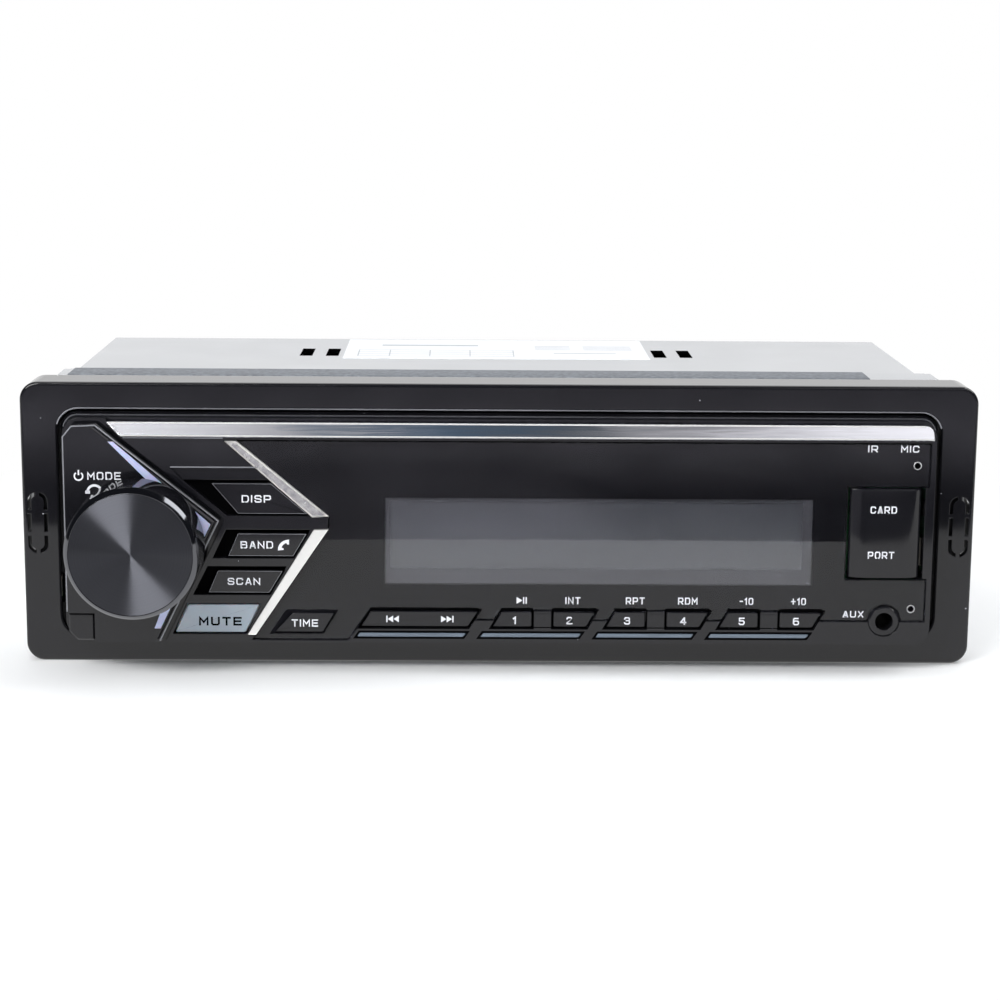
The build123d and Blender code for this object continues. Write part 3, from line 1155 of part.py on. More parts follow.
# ---------------------------------------------------------------- media door
DOOR_FRONT, DOOR_BACK = 18.2, 16.6
with BuildPart() as media_door:
    with BuildSketch(Plane.XY.offset(DOOR_BOTTOM)):
        Polygon(
            (DOOR_LEFT + 0.9, -DOOR_FRONT), (DOOR_RIGHT - 0.9, -DOOR_FRONT),
            (DOOR_RIGHT, -DOOR_FRONT + 0.8), (DOOR_RIGHT, -DOOR_BACK),
            (DOOR_AXIS_X + 1.4, -DOOR_BACK), (DOOR_AXIS_X + 0.8, -DOOR_AXIS_AHEAD + 0.6),
            (DOOR_AXIS_X - 0.8, -DOOR_AXIS_AHEAD + 0.6), (DOOR_LEFT, -DOOR_AXIS_AHEAD),
            (DOOR_LEFT, -DOOR_FRONT + 0.9), align=None,
        )
    extrude(amount=DOOR_TOP - DOOR_BOTTOM)
    with BuildSketch(Plane.XY.offset(DOOR_BOTTOM - 1.1)):
        with Locations((DOOR_AXIS_X, -DOOR_AXIS_AHEAD)):
            Circle(DOOR_PIN_RADIUS)
    extrude(amount=DOOR_TOP - DOOR_BOTTOM + 2.2)
save(media_door, "media_door")
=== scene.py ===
"""Finishes, lettering and soft-edged pieces for a single-slot car radio with a pull-off faceplate.

Sizes are millimetres unless a comment says metres: X to the right, Z up, and "ahead" in front
of the trim ring's rear face, which is where the frame has its origin.
"""
import math
from functools import partial

import bmesh
import bpy
from mathutils import Matrix, Vector


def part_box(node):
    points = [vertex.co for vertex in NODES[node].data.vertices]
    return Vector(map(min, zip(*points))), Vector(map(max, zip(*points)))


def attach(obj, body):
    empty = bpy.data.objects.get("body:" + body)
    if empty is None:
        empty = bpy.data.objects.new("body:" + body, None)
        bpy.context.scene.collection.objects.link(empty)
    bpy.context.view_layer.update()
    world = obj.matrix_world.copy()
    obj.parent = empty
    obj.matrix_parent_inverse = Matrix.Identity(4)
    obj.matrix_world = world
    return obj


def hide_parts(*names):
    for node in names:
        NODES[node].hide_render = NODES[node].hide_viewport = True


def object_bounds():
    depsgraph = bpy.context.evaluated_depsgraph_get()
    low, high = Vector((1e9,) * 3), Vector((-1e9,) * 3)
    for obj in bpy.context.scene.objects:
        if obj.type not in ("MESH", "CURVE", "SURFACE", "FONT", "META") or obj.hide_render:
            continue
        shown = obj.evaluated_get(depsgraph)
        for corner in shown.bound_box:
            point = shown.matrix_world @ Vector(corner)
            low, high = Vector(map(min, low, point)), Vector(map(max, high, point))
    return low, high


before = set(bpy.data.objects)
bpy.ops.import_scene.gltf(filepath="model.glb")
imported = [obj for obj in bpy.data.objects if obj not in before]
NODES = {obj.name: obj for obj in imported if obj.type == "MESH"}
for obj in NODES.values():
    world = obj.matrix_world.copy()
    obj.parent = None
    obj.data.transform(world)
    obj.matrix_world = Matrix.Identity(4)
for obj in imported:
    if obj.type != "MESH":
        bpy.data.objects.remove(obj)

bl_info = {
    "name": "Car radio looks",
    "version": (1, 0, 0),
    "blender": (4, 5, 0),
    "location": "3D View > Sidebar > Car Radio",
    "description": "Dresses a single-slot car radio and sets its studio stage",
    "category": "Object",
}

CAD_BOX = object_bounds()
MM = 0.001
# Points closer than this, in metres, count as one
SAME_PLACE = 1e-6
FINISHES = {}

# ---------------------------------------------------------------- places
# How far ahead the fronts lie: the face, the knob's panel, the socket door
FACE_FRONT = 18.0
PANEL_FRONT = 19.0
DOOR_FRONT = 18.2
KNOB_X, KNOB_Z = -70.2, -2.2
# Profiles of the knob's parts: radius and distance ahead of each corner
KNOB_SKIRT = [(3.0, 20.4), (4.8, 20.4), (4.8, 26.4), (10.9, 26.4), (11.4, 19.8), (12.85, 19.8),
              (13.02, 19.87), (13.1, 20.05), (12.86, 28.1), (11.7, 28.14), (3.0, 28.14)]
KNOB_EDGE = [(11.8, 28.14), (12.83, 28.14), (12.85, 28.22), (11.98, 29.54), (11.9, 29.59),
             (11.84, 29.58), (11.8, 29.5)]
KNOB_FACE = [(0.0, 29.54), (11.76, 29.54), (11.8, 29.5), (11.8, 28.14), (0.0, 28.14)]
# Keys: a plunger behind, a flange under the face, and the cap that shows
KEY_FRONT, FLANGE_FRONT, FLANGE_BACK, PLUNGER_BACK = 17.7, 14.85, 14.05, 12.9
FLANGE_REACH, PLUNGER_RADIUS = 0.5, 1.2
ROCKER_X, ROCKER_AHEAD, ROCKER_PUSH = -15.7, 14.3, 5.3
PIN_LOW, PIN_HIGH, PIN_RADIUS = -20.7, -13.6, 0.5
# Socket door: its ends, its section seen from above as X and Y, and its hinge pin
DOOR_LOW, DOOR_HIGH = -8.6, 9.1
DOOR_SECTION = [
    (68.1, -16.2), (68.1, -17.2), (68.3, -17.5), (70.0, -18.0), (70.7, -18.12), (71.6, -18.18),
    (75.0, -18.2), (78.4, -18.18), (79.6, -18.12), (80.5, -18.0), (81.4, -17.65), (81.8, -17.35),
    (81.9, -17.1), (81.9, -16.6), (71.2, -16.6), (70.6, -15.6), (69.0, -15.6)]
HINGE_X, HINGE_AHEAD, HINGE_REACH = 69.8, 16.2, 1.1
# How far ahead the crown begins, and the place of the loop beside each end
CROWN_FROM, CROWN_LOOP = 17.05, 0.36
# Top cover: its raised band, the tape on it as X and Y, its vent slots with the width of the
# painted shade on their walls, and its thickness
BAND_TOP, TAPE_HEIGHT, TAPE_EDGE = 26.4, 0.3, 0.12
TAPE = (-88.0, 11.0, 76.0, 20.4)
VENT_X, VENT_Y, VENT_HALF, VENT_SHADE_WIDTH = (-42.4, -36.6, 36.6, 42.4), (54.4, 66.8), 1.4, 0.08
COVER_SHEET = 0.8
KEY_OUTLINES = {
    "key_display": [(-56.1, 9.6), (-44.4, 9.6), (-37.3, 3.5), (-50.9, 3.5)],
    "key_band": [(-51.0, -0.3), (-37.5, -0.3), (-40.2, -4.9), (-53.0, -4.9)],
    "key_scan": [(-55.0, -7.7), (-42.2, -7.7), (-44.9, -12.2), (-56.9, -12.2)],
    "key_mute": [(-60.8, -14.5), (-46.9, -14.5), (-49.7, -20.1), (-63.4, -20.1)],
    "key_clock": [(-40.4, -16.1), (-32.3, -16.1), (-34.6, -20.0), (-44.1, -20.0)],
    "seek_rocker": [(-25.2, -15.7), (-4.2, -15.7), (-6.2, -18.8), (-27.2, -18.8)],
}
# Keys with a thin pale rim of painted highlight, and where it starts and ends, minus being inside
# the outline
HIGHLIGHT_RIMMED_KEYS, KEY_HIGHLIGHT_RIM = ("key_display", "key_band", "key_scan"), (-0.12, -0.19)
LEFT_PRESET = [(0.0, -15.7), (5.9, -15.7), (5.9, -18.8), (-1.8, -18.8)]
RIGHT_PRESET = [(10.1, -15.7), (18.3, -15.7), (16.6, -18.8), (10.1, -18.8)]
# The six presets stand in three pairs
PAIR_LEFTS = [0.4 + 22.2 * pair for pair in range(3)]
PRESET_X = (2.9, 13.7, 25.0, 36.0, 47.5, 58.2)
for pair, left in enumerate(PAIR_LEFTS):
    for number, corners in ((2 * pair + 1, LEFT_PRESET), (2 * pair + 2, RIGHT_PRESET)):
        KEY_OUTLINES[f"preset_{number}"] = [(x + left, z) for x, z in corners]
# Painted shade in the wells: a black sheet's floor, thickness, and start at the wall and end by
# the key
WELL_FLOOR, SHADE_THICKNESS, WELL_WALL, WELL_KEY = 16.3, 0.04, -0.03, 0.2
# Black lines of painted shadow on the face, along gaps that lie in shade, as how far out each
# starts and ends: round a lower key, whose line has a further one above it, and round a light bar
KEY_SHADOW_LINE, UPPER_SHADOW_LINE, BAR_SHADOW_LINE = (0.42, 0.24), (0.3, 0.8), (0.3, -0.2)
# Between a pair's presets, from the pair's left: a black line of painted shadow and the gloss
# filler above it
PAIR_SHADOW_LINE, PAIR_FILLER = (6.2, -18.95, 9.8, -18.75), (6.4, -18.6, 9.6, -16.0)
# The window lens: the plane of its inner side, the display behind it, its holes and its outline
LENS_BACK, BACKING_INSET = 17.0, -0.2
DISPLAY = (-22.5, -10.4, 61.0, 6.8)
SMALL_HOLES = ((80.8, 13.7), (80.6, -14.8))
# Rim of painted glints round a small hole: radius and distance ahead
HOLE_RADIUS = 0.8
HOLE_GLINT_RIM = [(0.62, FACE_FRONT), (0.65, 18.03), (0.71, 18.04), (0.77, 18.03),
            (HOLE_RADIUS, FACE_FRONT)]
# The lens goes round the audio socket, which stands on its lower edge
AUX_X, AUX_CLEARANCE = 75.4, 3.3
# Its outline: from the upper left to the lower right, round a pair of presets as seen from the
# pair's left, and from the seek rocker back to the upper left
LENS_TOP = [(-51.0, 18.0), (83.3, 18.0), (83.3, 9.4), (67.5, 9.4), (67.5, -8.9), (83.3, -8.9),
            (83.3, -17.3)]
LENS_NOTCH = [(17.5, -17.3), (18.8, -15.4), (-0.2, -15.4), (-1.4, -17.3)]
LENS_LEFT = [(-5.0, -17.3), (-3.8, -15.4), (-25.4, -15.4), (-29.6, -21.4), (-48.2, -21.4),
             (-33.4, 0.6), (-33.3, 3.2)]
# Walls of the key wells
WELLS = {
    "key_display": [(-61.4, 10.1), (-44.1, 10.1), (-36.6, 3.2), (-53.0, 3.2)],
    "key_band": [(-53.2, 0.5), (-36.9, 0.5), (-40.2, -5.2), (-55.9, -5.2)],
    "key_scan": [(-56.9, -6.8), (-41.6, -6.8), (-44.7, -12.5), (-59.8, -12.5)],
    "key_clock": [(-41.7, -15.4), (-31.4, -15.4), (-34.5, -20.3), (-45.0, -20.3)],
}
# Chevron bars
UPPER_BAR = [(-53.3, 17.9), (-51.0, 17.9), (-33.3, 3.2), (-36.5, 3.0)]
LOWER_BAR = [(-36.2, 0.5), (-33.4, 0.6), (-47.6, -20.4), (-49.2, -20.4)]
BAR_BACK, BAR_FRONT = 17.0, 18.6
# Beads of painted highlight along edges: how deep each starts and how proud it stands, then each
# line's height and points
BEAD_ROOT, BEAD_PROUD = 0.2, 0.06
FACE_HIGHLIGHT_BEADS = [
    (PANEL_FRONT, [(-84.2, -15.8), (-84.2, 18.7), (-82.5, 20.75), (-78.0, 20.95), (-54.6, 2.35),
                   (-66.3, -21.6)]),
    (FACE_FRONT, [(-72.8, 18.45), (-53.6, 18.45)]), (FACE_FRONT, [(-63.8, 12.75), (-47.2, 12.75)])]
STRIP_GLEAM_BEADS = [(19.2, [(-73.1, 19.05), (83.5, 19.05)]), (18.0, [(-75.6, 21.35), (82.0, 21.35)])]
# Corner of the trim's opening: X, Z and radius
OPENING = (82.6, 18.6, 4.33)
TRIM_FRONT = 10.0
LIGHT_BARS = [[(left + 0.7, -19.9), (right, -19.9), (right - 0.7, -20.9), (left, -20.9)]
              for left, right in ((-28.1, -6.4), (-4.0, 16.2), (18.6, 38.3), (40.7, 60.9))]
# Radii of a light bar's upright and front edges
BAR_CORNER, BAR_EDGE = 0.22, 0.08

# Cross-head screws: where the head sits, in mm in the frame, which way it looks, head radius
SCREWS = {
    "chassis_screws": [((side * 89.0, y, z), (side, 0, 0), 2.8) for side in (-1, 1)
                       for y, z in ((34, 18), (66, 18), (4, 12), (4, -12))]
    + [((x, 85.0, z), (0, 1, 0), 2.4) for x in (-85, 85) for z in (-18, 18)],
    "faceplate_screws": [((x, -3.5, z), (0, 1, 0), 2.1)
                         for x, z in ((-52, 15.6), (64.2, -12.6), (30, 15.6), (-24, -12.5))],
}


def linear(code):
    """A linear RGBA colour from an sRGB hex value."""
    shares = [int(code[i:i + 2], 16) / 255 for i in (1, 3, 5)]
    return (*(s / 12.92 if s <= 0.04045 else ((s + 0.055) / 1.055) ** 2.4 for s in shares), 1.0)


def front(x, z, ahead):
    """A point in the frame, in metres, seen from the driver's side."""
    return Vector((x, -ahead, z)) * MM


def top(x, y, height):
    """A point in the frame, in metres, seen from above."""
    return Vector((x, y, height)) * MM


# ---------------------------------------------------------------- settings
def size_setting(name, description, millimetres):
    """A length that a user may change, kept in metres."""
    return bpy.props.FloatProperty(name=name, description=description, default=millimetres * MM,
                                   min=0.0, precision=5, unit="LENGTH")


def colour_setting(name, description, code):
    """A colour that a user may change."""
    return bpy.props.FloatVectorProperty(name=name, description=description, size=4, min=0, max=1,
                                         subtype="COLOR", default=linear(code))


def power_setting(name, description, watts):
    """A lamp's power that a user may change."""
    return bpy.props.FloatProperty(name=name, description=description, default=watts, unit="POWER")


class RadioSizes(bpy.types.PropertyGroup):
    """Sizes of the soft edges and of the lettering."""
    key_edge: size_setting("Key edge", "Radius round a key's front edge", 0.3)
    key_corner: size_setting("Key corner", "Radius of a key's upright corners", 0.35)
    door_edge: size_setting("Door edge", "Radius along the socket door's ends", 0.3)
    bar_gap: size_setting("Light bar gap", "Dark gap round each light bar", 0.12)
    bar_rim: size_setting("Chevron rim", "Width of the rim round the upper chevron bar", 0.36)
    # Beads of painted highlight along moulded edges
    bead: size_setting("Edge bead", "Width of the beads along moulded edges", 0.24)
    ink: size_setting("Ink", "Thickness of the printed letters", 0.02)
    screw_height: size_setting("Screw height", "How far a screw head stands out", 1.4)


class RadioColours(bpy.types.PropertyGroup):
    """Colours of the finishes that show most."""
    plastic: colour_setting("Plastic", "Gloss black mouldings", "#121215")
    sheet: colour_setting("Sheet", "Zinc-plated chassis", "#babbbd")
    chrome: colour_setting("Chrome", "Bright trim on the front", "#d8d9dd")
    knob: colour_setting("Knob", "Spun face of the knob", "#494a4f")
    guide: colour_setting("Light guide", "Milky acrylic round the knob", "#c9cbea")
    mute: colour_setting("Mute key", "Smoked key at the lower left", "#aab4be")
    display: colour_setting("Display", "Switched-off display", "#28292b")
    ink: colour_setting("Ink", "Printed words and numbers", "#e8e9ee")


class RadioStage(bpy.types.PropertyGroup):
    """The camera, the floor and the lamps."""
    camera: bpy.props.FloatVectorProperty(
        name="Camera", description="Where the camera stands", size=3, subtype="XYZ", unit="LENGTH",
        precision=4, default=(-0.0072, -0.461, 0.0927))
    turn: bpy.props.FloatVectorProperty(
        name="Camera turn", description="Pitch down, roll, and yaw to the right", size=3,
        subtype="EULER", default=(0.192, 0.008, 0.016))
    lens: bpy.props.FloatProperty(
        name="Lens", description="Focal length in millimetres on a 36 mm sensor", default=83.84)
    floor: colour_setting("Floor", "Pale paper under the radio", "#eceded")
    room: colour_setting("Room", "Tint of the dim room that the gloss front mirrors", "#f4f1ff")
    edge: size_setting("Table edge", "How far ahead of the seat the pale table ends", 141.0)
    key_power: power_setting("Key lamp", "Power of the upper left soft box", 9.0)
    glint_power: power_setting("Glint lamp", "Power of the box that gloss and metal mirror", 72.0)
    top_power: power_setting("Top lamp", "Power of the overhead soft box", 4.6)
    side_power: power_setting("Side lamp", "Power of the right soft box", 4.6)


# ---------------------------------------------------------------- materials
# Where nearly all of a noise texture's values lie
NOISE_RANGE = (0.3, 0.7)


def feed(node, sockets):
    """Sets a node's sockets, in order or by name.

    Each takes a value, or is linked to another socket or to another node's first output.
    """
    for key, value in sockets.items() if isinstance(sockets, dict) else enumerate(sockets):
        if isinstance(value, bpy.types.Node):
            value = value.outputs[0]
        if isinstance(value, bpy.types.NodeSocket):
            node.id_data.links.new(value, node.inputs[key])
        else:
            node.inputs[key].default_value = value


def add_node(tree, kind, sockets=(), **settings):
    """Adds one shader node with its settings and feeds its sockets."""
    node = tree.nodes.new("ShaderNode" + kind)
    for key, value in settings.items():
        setattr(node, key, value)
    feed(node, sockets)
    return node


def start(name, on="", **constants):
    """A new material, worn by the CAD pieces named in a string.

    Returns its own add-node call, its shader and its object coordinates in millimetres.
    """
    material = FINISHES[name] = bpy.data.materials.new(name)
    for node in on.split():
        slots = NODES[node].data.materials
        slots.clear()
        slots.append(material)
    material.use_nodes = True
    add = partial(add_node, material.node_tree)
    shader = material.node_tree.nodes["Principled BSDF"]
    feed(shader, {socket.replace("_", " "): value for socket, value in constants.items()})
    place = add("TexCoord").outputs["Object"]
    mm = add("VectorMath", {0: place, "Scale": 1 / MM}, operation="SCALE")
    return add, shader, mm


def show(surface):
    """Makes a shader the one that its material or the world shows."""
    nodes = surface.id_data.nodes
    feed(next(node for node in nodes if node.type.startswith("OUTPUT")), {"Surface": surface})


def finish(name, colour, tint=None, tint_mm=9.0, rough=(0.4, 0.5), rough_mm=4.0, grain=None,
           drawn=(1, 1, 1), edge=0.0, dust=0.0, **constants):
    """A moulded, plated or painted finish.

    The colour drifts to tint over patches of tint_mm and the roughness over rough_mm. Grain is
    the size and depth of the surface's relief, drawn is how it is stretched along X, Y and Z,
    edge rounds the sharp corners, and dust is the share of fine pale specks.
    """
    add, shader, mm = start(name, **constants)
    patches = add("TexNoise", {"Vector": mm, "Scale": 1 / tint_mm, "Detail": 4.0})
    colour = linear(colour) if isinstance(colour, str) else colour
    other = linear(tint) if tint else (*(0.8 * c for c in colour[:3]), 1.0)
    blend = add("Mix", {0: patches, 6: colour, 7: other}, data_type="RGBA")
    stretched = add("Mapping", {"Vector": mm, "Scale": drawn})
    smudges = add("TexNoise", {"Vector": stretched, "Scale": 1 / rough_mm, "Detail": 3.0})
    spread = add("MapRange", [smudges, *NOISE_RANGE, *rough])
    if dust:
        # One speck of about 0.1 mm in some of the 3 mm cells
        cells = add("TexVoronoi", {"Vector": mm, "Scale": 1 / 3.0})
        speck = add("Math", [cells.outputs["Distance"], 0.045], operation="LESS_THAN")
        lot = add("SeparateColor", [cells.outputs["Color"]])
        kept = add("Math", [lot, dust], operation="LESS_THAN")
        amount = add("Math", [speck, kept], operation="MULTIPLY")
        blend = add("Mix", {0: amount, 6: blend.outputs[2], 7: linear("#b4b6bd")}, data_type="RGBA")
    feed(shader, {"Base Color": blend.outputs[2], "Roughness": spread})
    normal = {"Normal": add("Bevel", {"Radius": edge * MM}, samples=6)} if edge else {}
    if grain:
        relief = add("TexNoise", {"Vector": stretched, "Scale": 1 / grain[0]})
        normal = {"Normal": add("Bump", {"Height": relief, "Distance": grain[1] * MM, **normal})}
    feed(shader, normal)


def mix_gloss_black(colours):
    # Piano-black ABS: a deep wet gloss with a moulding's faint waviness and a little dust
    finish("piano_black_abs", colours.plastic, "#17171b", rough=(0.05, 0.1), rough_mm=8.0,
           grain=(6.0, 0.004), edge=0.22, dust=0.12, IOR=1.5,
           on="trim_ring front_bezel knob_panel media_door release_button aux_jack")
    # Spark-eroded ABS: a dry, fine-pored black that shows only broad soft light
    finish("spark_textured_abs", "#1b1b1d", rough=(0.55, 0.68), grain=(0.22, 0.02), edge=0.12,
           on="front_frame faceplate_housing")
    # Satin black nylon: moulded sockets, a waxy half gloss
    finish("satin_black_nylon", "#19191b", rough=(0.28, 0.4), grain=(0.6, 0.006), edge=0.1,
           on="iso_connector face_connector")
    # Painted shade: a black sheet with no gloss at all, laid in the key wells, in the gaps round
    # keys and bars and on the vent slots' walls, where they lie in shade
    finish("painted_shade_black", "#060607", rough=(0.85, 0.95), grain=(0.3, 0.01), IOR=1.0)
    # Black ink on the lens' inner side: no gloss of its own, so the window mirrors the room once
    finish("backing_ink", "#0d0d0f", "#111114", rough=(0.6, 0.7), grain=(0.5, 0.01), IOR=1.0)
    # Painted highlight round the small holes: black with bright arcs where their edges catch light
    finish("painted_glint_rim", "#121214", "#e8e8ea", tint_mm=0.9, rough=(0.25, 0.35), grain=(0.3, 0.02))
    # Painted highlight on rounded moulding edges: a soft grey line, paler and darker in patches,
    # for the light the edges catch. Drawn 0.24 mm wide, coarser than the real 0.05 mm radius so
    # that it can be seen
    finish("painted_edge_highlight", "#b2b3ba", "#1c1d21", tint_mm=26.0, rough=(0.2, 0.3), rough_mm=6.0,
           IOR=1.5)
    # Rubber boot: dead matte
    finish("rubber_boot", "#161616", rough=(0.75, 0.85), grain=(0.3, 0.01), on="microphone")
    # Dark epoxy that only infra-red passes: black cherry in the light
    finish("infra_red_epoxy", "#0a080a", rough=(0.3, 0.36), grain=(2.0, 0.004), IOR=1.05,
           on="ir_receiver")


def mix_metals(colours):
    metal = partial(finish, Metallic=1.0)
    # Zinc-plated sheet: pale and slightly cloudy, with blurred reflections
    metal("zinc_sheet", colours.sheet, "#aaacaf", tint_mm=45.0, rough=(0.4, 0.44), rough_mm=9.0,
          grain=(0.5, 0.0015), edge=0.12, on="chassis_tray top_cover rear_panel")
    # Extruded aluminium: fine die lines up the fins
    metal("extruded_aluminium", "#b9bbbe", "#a6a8ab", rough=(0.3, 0.42), grain=(0.35, 0.006),
          drawn=(1, 1, 0.03), edge=0.15, on="heat_sink")
    # Nickel plate: warm grey and almost a mirror
    metal("nickel_plate", "#c4bfb6", "#b3aea4", tint_mm=5.0, rough=(0.14, 0.24), grain=(1.5, 0.003),
          edge=0.08, on="antenna_socket rca_jacks usb_socket card_socket")
    # Tinned brass pins: soft silver with brass at the worn places
    metal("tinned_brass", "#cfcabd", "#b79f62", tint_mm=1.6, rough=(0.25, 0.35), on="iso_pins")
    # Zinc-plated screws: bluish bright with a rubbed crown
    metal("zinc_screw", "#c3c8cb", "#9da3a8", tint_mm=1.2, rough=(0.22, 0.36), grain=(0.25, 0.004),
          on="rear_stud")
    # Blackened screws: graphite grey with bare steel where a driver rubs
    metal("black_zinc_screw", "#3a3b3e", "#57585c", tint_mm=0.8, rough=(0.3, 0.45))
    # Spring steel: blue-grey strip, brushed along its length
    metal("spring_steel", "#8d9297", "#7b8187", rough=(0.25, 0.38), grain=(0.3, 0.004),
          drawn=(1, 0.05, 1), edge=0.08, on="side_springs")
    # Tinplate can: bright with broad dents
    metal("tinplate_can", "#c9cbcb", rough=(0.18, 0.3), grain=(7.0, 0.05), on="tuner_module")
    # Die-cast zinc: grey, grainy skin
    metal("die_cast_zinc", "#9b9d9f", rough=(0.4, 0.52), grain=(0.4, 0.01), on="encoder")
    # Turned steel shaft: rings round its axis
    metal("turned_steel", "#b7b8ba", rough=(0.18, 0.26), grain=(0.25, 0.004), drawn=(0.1, 1, 0.1),
          on="knob_shaft")
    # Chrome on moulded ABS: a mirror whose long waves bend the room into streaks
    metal("chrome_plated_abs", colours.chrome, "#c4c6cc", tint_mm=24.0, rough=(0.03, 0.08),
          rough_mm=12.0, grain=(2.2, 0.05), drawn=(0.07, 1, 1), edge=0.3, on="chrome_strip")
    # Brushed chrome bar: pressed streaks of grey and silver
    finish("brushed_chrome", "#f0efec", "#98979b", tint_mm=1.1, rough=(0.12, 0.3), rough_mm=1.0,
           grain=(0.5, 0.01), drawn=(0.5, 1, 0.5), Metallic=0.8)
    # Pale rims of the bright trim: a whitish half-metal whose colour paints the white gleam of
    # their edges, a painted highlight; on the lower chevron bar it is the bar's bright plate with
    # that gleam
    finish("pale_rim_painted_gleam", "#eae9e4", "#d9d8d8", rough=(0.16, 0.26), Metallic=0.3)


def mix_clear_and_light(colours):
    # Milky acrylic light guide: lilac, lit from inside its surface
    finish("milky_acrylic", colours.guide, "#b9bcdf", rough=(0.12, 0.2), grain=(3.0, 0.003),
           IOR=1.49, Subsurface_Weight=0.35, Subsurface_Scale=0.001, on="light_guide")
    # Smoked acrylic bars under the keys: blue grey, glossy
    finish("smoked_acrylic", "#6d7986", "#5d6773", rough=(0.08, 0.14), grain=(3.0, 0.003), edge=0.1,
           IOR=1.49, on="key_light_bars")
    # Smoked polycarbonate mute key: soft blue-grey glow under a gloss
    finish("smoked_polycarbonate", colours.mute, "#84909b", rough=(0.08, 0.16), grain=(4.0, 0.003),
           IOR=1.58, Subsurface_Weight=0.25, Subsurface_Scale=0.001)
    # Fuse body: clear blue plastic
    finish("blue_fuse_plastic", "#2f62c4", "#254f9f", rough=(0.12, 0.2), IOR=1.5,
           Transmission_Weight=0.4, on="fuse")
    # Display polariser: flat grey film, satin
    finish("grey_polariser", colours.display, "#242527", tint_mm=30.0, rough=(0.16, 0.2),
           rough_mm=30.0, IOR=2.0, on="lcd_panel")
    # Display frame: moulded grey, finely textured
    finish("grey_display_frame", "#272629", "#232225", tint_mm=20.0, rough=(0.45, 0.55),
           grain=(0.25, 0.004), edge=0.1, IOR=1.4, on="lcd_frame")
    # Clear acrylic window: glass to the eye, open to the lamps
    add, shader, mm = start("clear_acrylic", IOR=1.49, Transmission_Weight=1.0, Roughness=0.015,
                            Base_Color=linear("#eceef2"), on="lens")
    flow = add("TexNoise", {"Vector": mm, "Scale": 1 / 14.0})
    feed(shader, {"Normal": add("Bump", {"Height": flow, "Distance": 0.006 * MM})})
    open_to_lamps = add("BsdfTransparent", [linear("#dcdde2")])
    rays = add("LightPath").outputs
    show(add("MixShader", [rays["Is Shadow Ray"], shader, open_to_lamps]))


def mix_inner_parts(colours):
    # Green solder mask: gloss lacquer over the raised copper tracks
    finish("green_solder_mask", "#1c5a2f", "#2b7440", tint_mm=1.6, rough=(0.2, 0.32),
           grain=(1.3, 0.03), drawn=(0.4, 1, 1), on="main_board front_board")
    # Moulded epoxy: chips and switches, charcoal with a fine matte skin
    finish("moulded_epoxy", "#232325", rough=(0.5, 0.62), grain=(0.2, 0.005), edge=0.1,
           on="amplifier_chip logic_chips tact_switches")
    # Shrink sleeve on capacitors: dark blue, slightly wrinkled
    finish("capacitor_sleeve", "#252c4c", "#1d2340", rough=(0.3, 0.42), grain=(1.4, 0.02), edge=0.3,
           on="capacitors")
    # Ivory nylon socket and white acetal catches: waxy, faintly yellow
    finish("ivory_nylon", "#dcd6c2", "#d0c9b2", rough=(0.35, 0.48), grain=(0.8, 0.005), edge=0.1,
           Subsurface_Weight=0.1, Subsurface_Scale=0.0008, on="chassis_connector")
    finish("white_acetal", "#dcdcd6", "#d2d2ca", rough=(0.3, 0.42), grain=(0.8, 0.004), edge=0.1,
           Subsurface_Weight=0.1, Subsurface_Scale=0.0008, on="encoder_plunger release_latch")
    # Label stock: bright coated paper with a slight sheen
    finish("coated_label", "#dbdddf", "#d1d3d6", tint_mm=8.0, rough=(0.4, 0.52), grain=(0.5, 0.003),
           on="rating_label")
    # Felt tape: blue-grey pressed fibre, matte and mottled. Fibres are drawn 0.6 mm coarse to show
    finish("felt_tape", "#7d8289", "#2e3339", tint_mm=0.9, rough=(0.85, 0.95), grain=(0.4, 0.06))
    # Printing: pad-printed white, the mute key's dark ink and the label's pale grey
    finish("white_ink", colours.ink, "#dcdde4", tint_mm=0.8, rough=(0.5, 0.6), grain=(0.15, 0.002))
    finish("dark_ink", "#0c0e11", "#08090b", tint_mm=0.8, rough=(0.6, 0.7), IOR=1.0)
    finish("grey_ink", "#a9adb2", "#9da1a7", tint_mm=1.5, rough=(0.5, 0.6))


def mix_spun_knob(colours):
    # Spun aluminium, dyed dark: hair-fine rings that spread each lamp into a fan
    add, shader, mm = start("spun_aluminium", Metallic=1.0, Roughness=0.29, Anisotropic=1.0,
                            Anisotropic_Rotation=0.25)
    middle = add("Mapping", {"Vector": mm, "Location": (-KNOB_X, 0, -KNOB_Z), "Scale": (1, 0, 1)})
    radius = add("VectorMath", [middle], operation="LENGTH").outputs["Value"]
    # Ring pitch 0.15 mm, coarser than the real 0.05 mm so that it can be seen
    rings = add("TexNoise", {"W": radius, "Scale": 1 / 0.15, "Detail": 1.0}, noise_dimensions="1D")
    shade = add("MapRange", [rings, *NOISE_RANGE, 0.94, 1.04])
    tone = add("VectorMath", {0: tuple(colours.knob)[:3], "Scale": shade}, operation="SCALE")
    tangent = add("Tangent", direction_type="RADIAL", axis="Y")
    feed(shader, {"Base Color": tone, "Tangent": tangent})
    # Diamond-cut edge: one bright polished bevel
    finish("diamond_cut_aluminium", "#68696d", "#606165", rough=(0.07, 0.11), rough_mm=6.0,
           Metallic=1.0)


class RADIO_OT_finishes(bpy.types.Operator):
    """Mixes the finishes and gives each CAD piece its own"""
    bl_idname = "radio.finishes"
    bl_label = "Finishes"

    def execute(self, context):
        colours = context.scene.radio_colours
        for mix in (mix_gloss_black, mix_metals, mix_clear_and_light, mix_inner_parts,
                    mix_spun_knob):
            mix(colours)
        return {"FINISHED"}


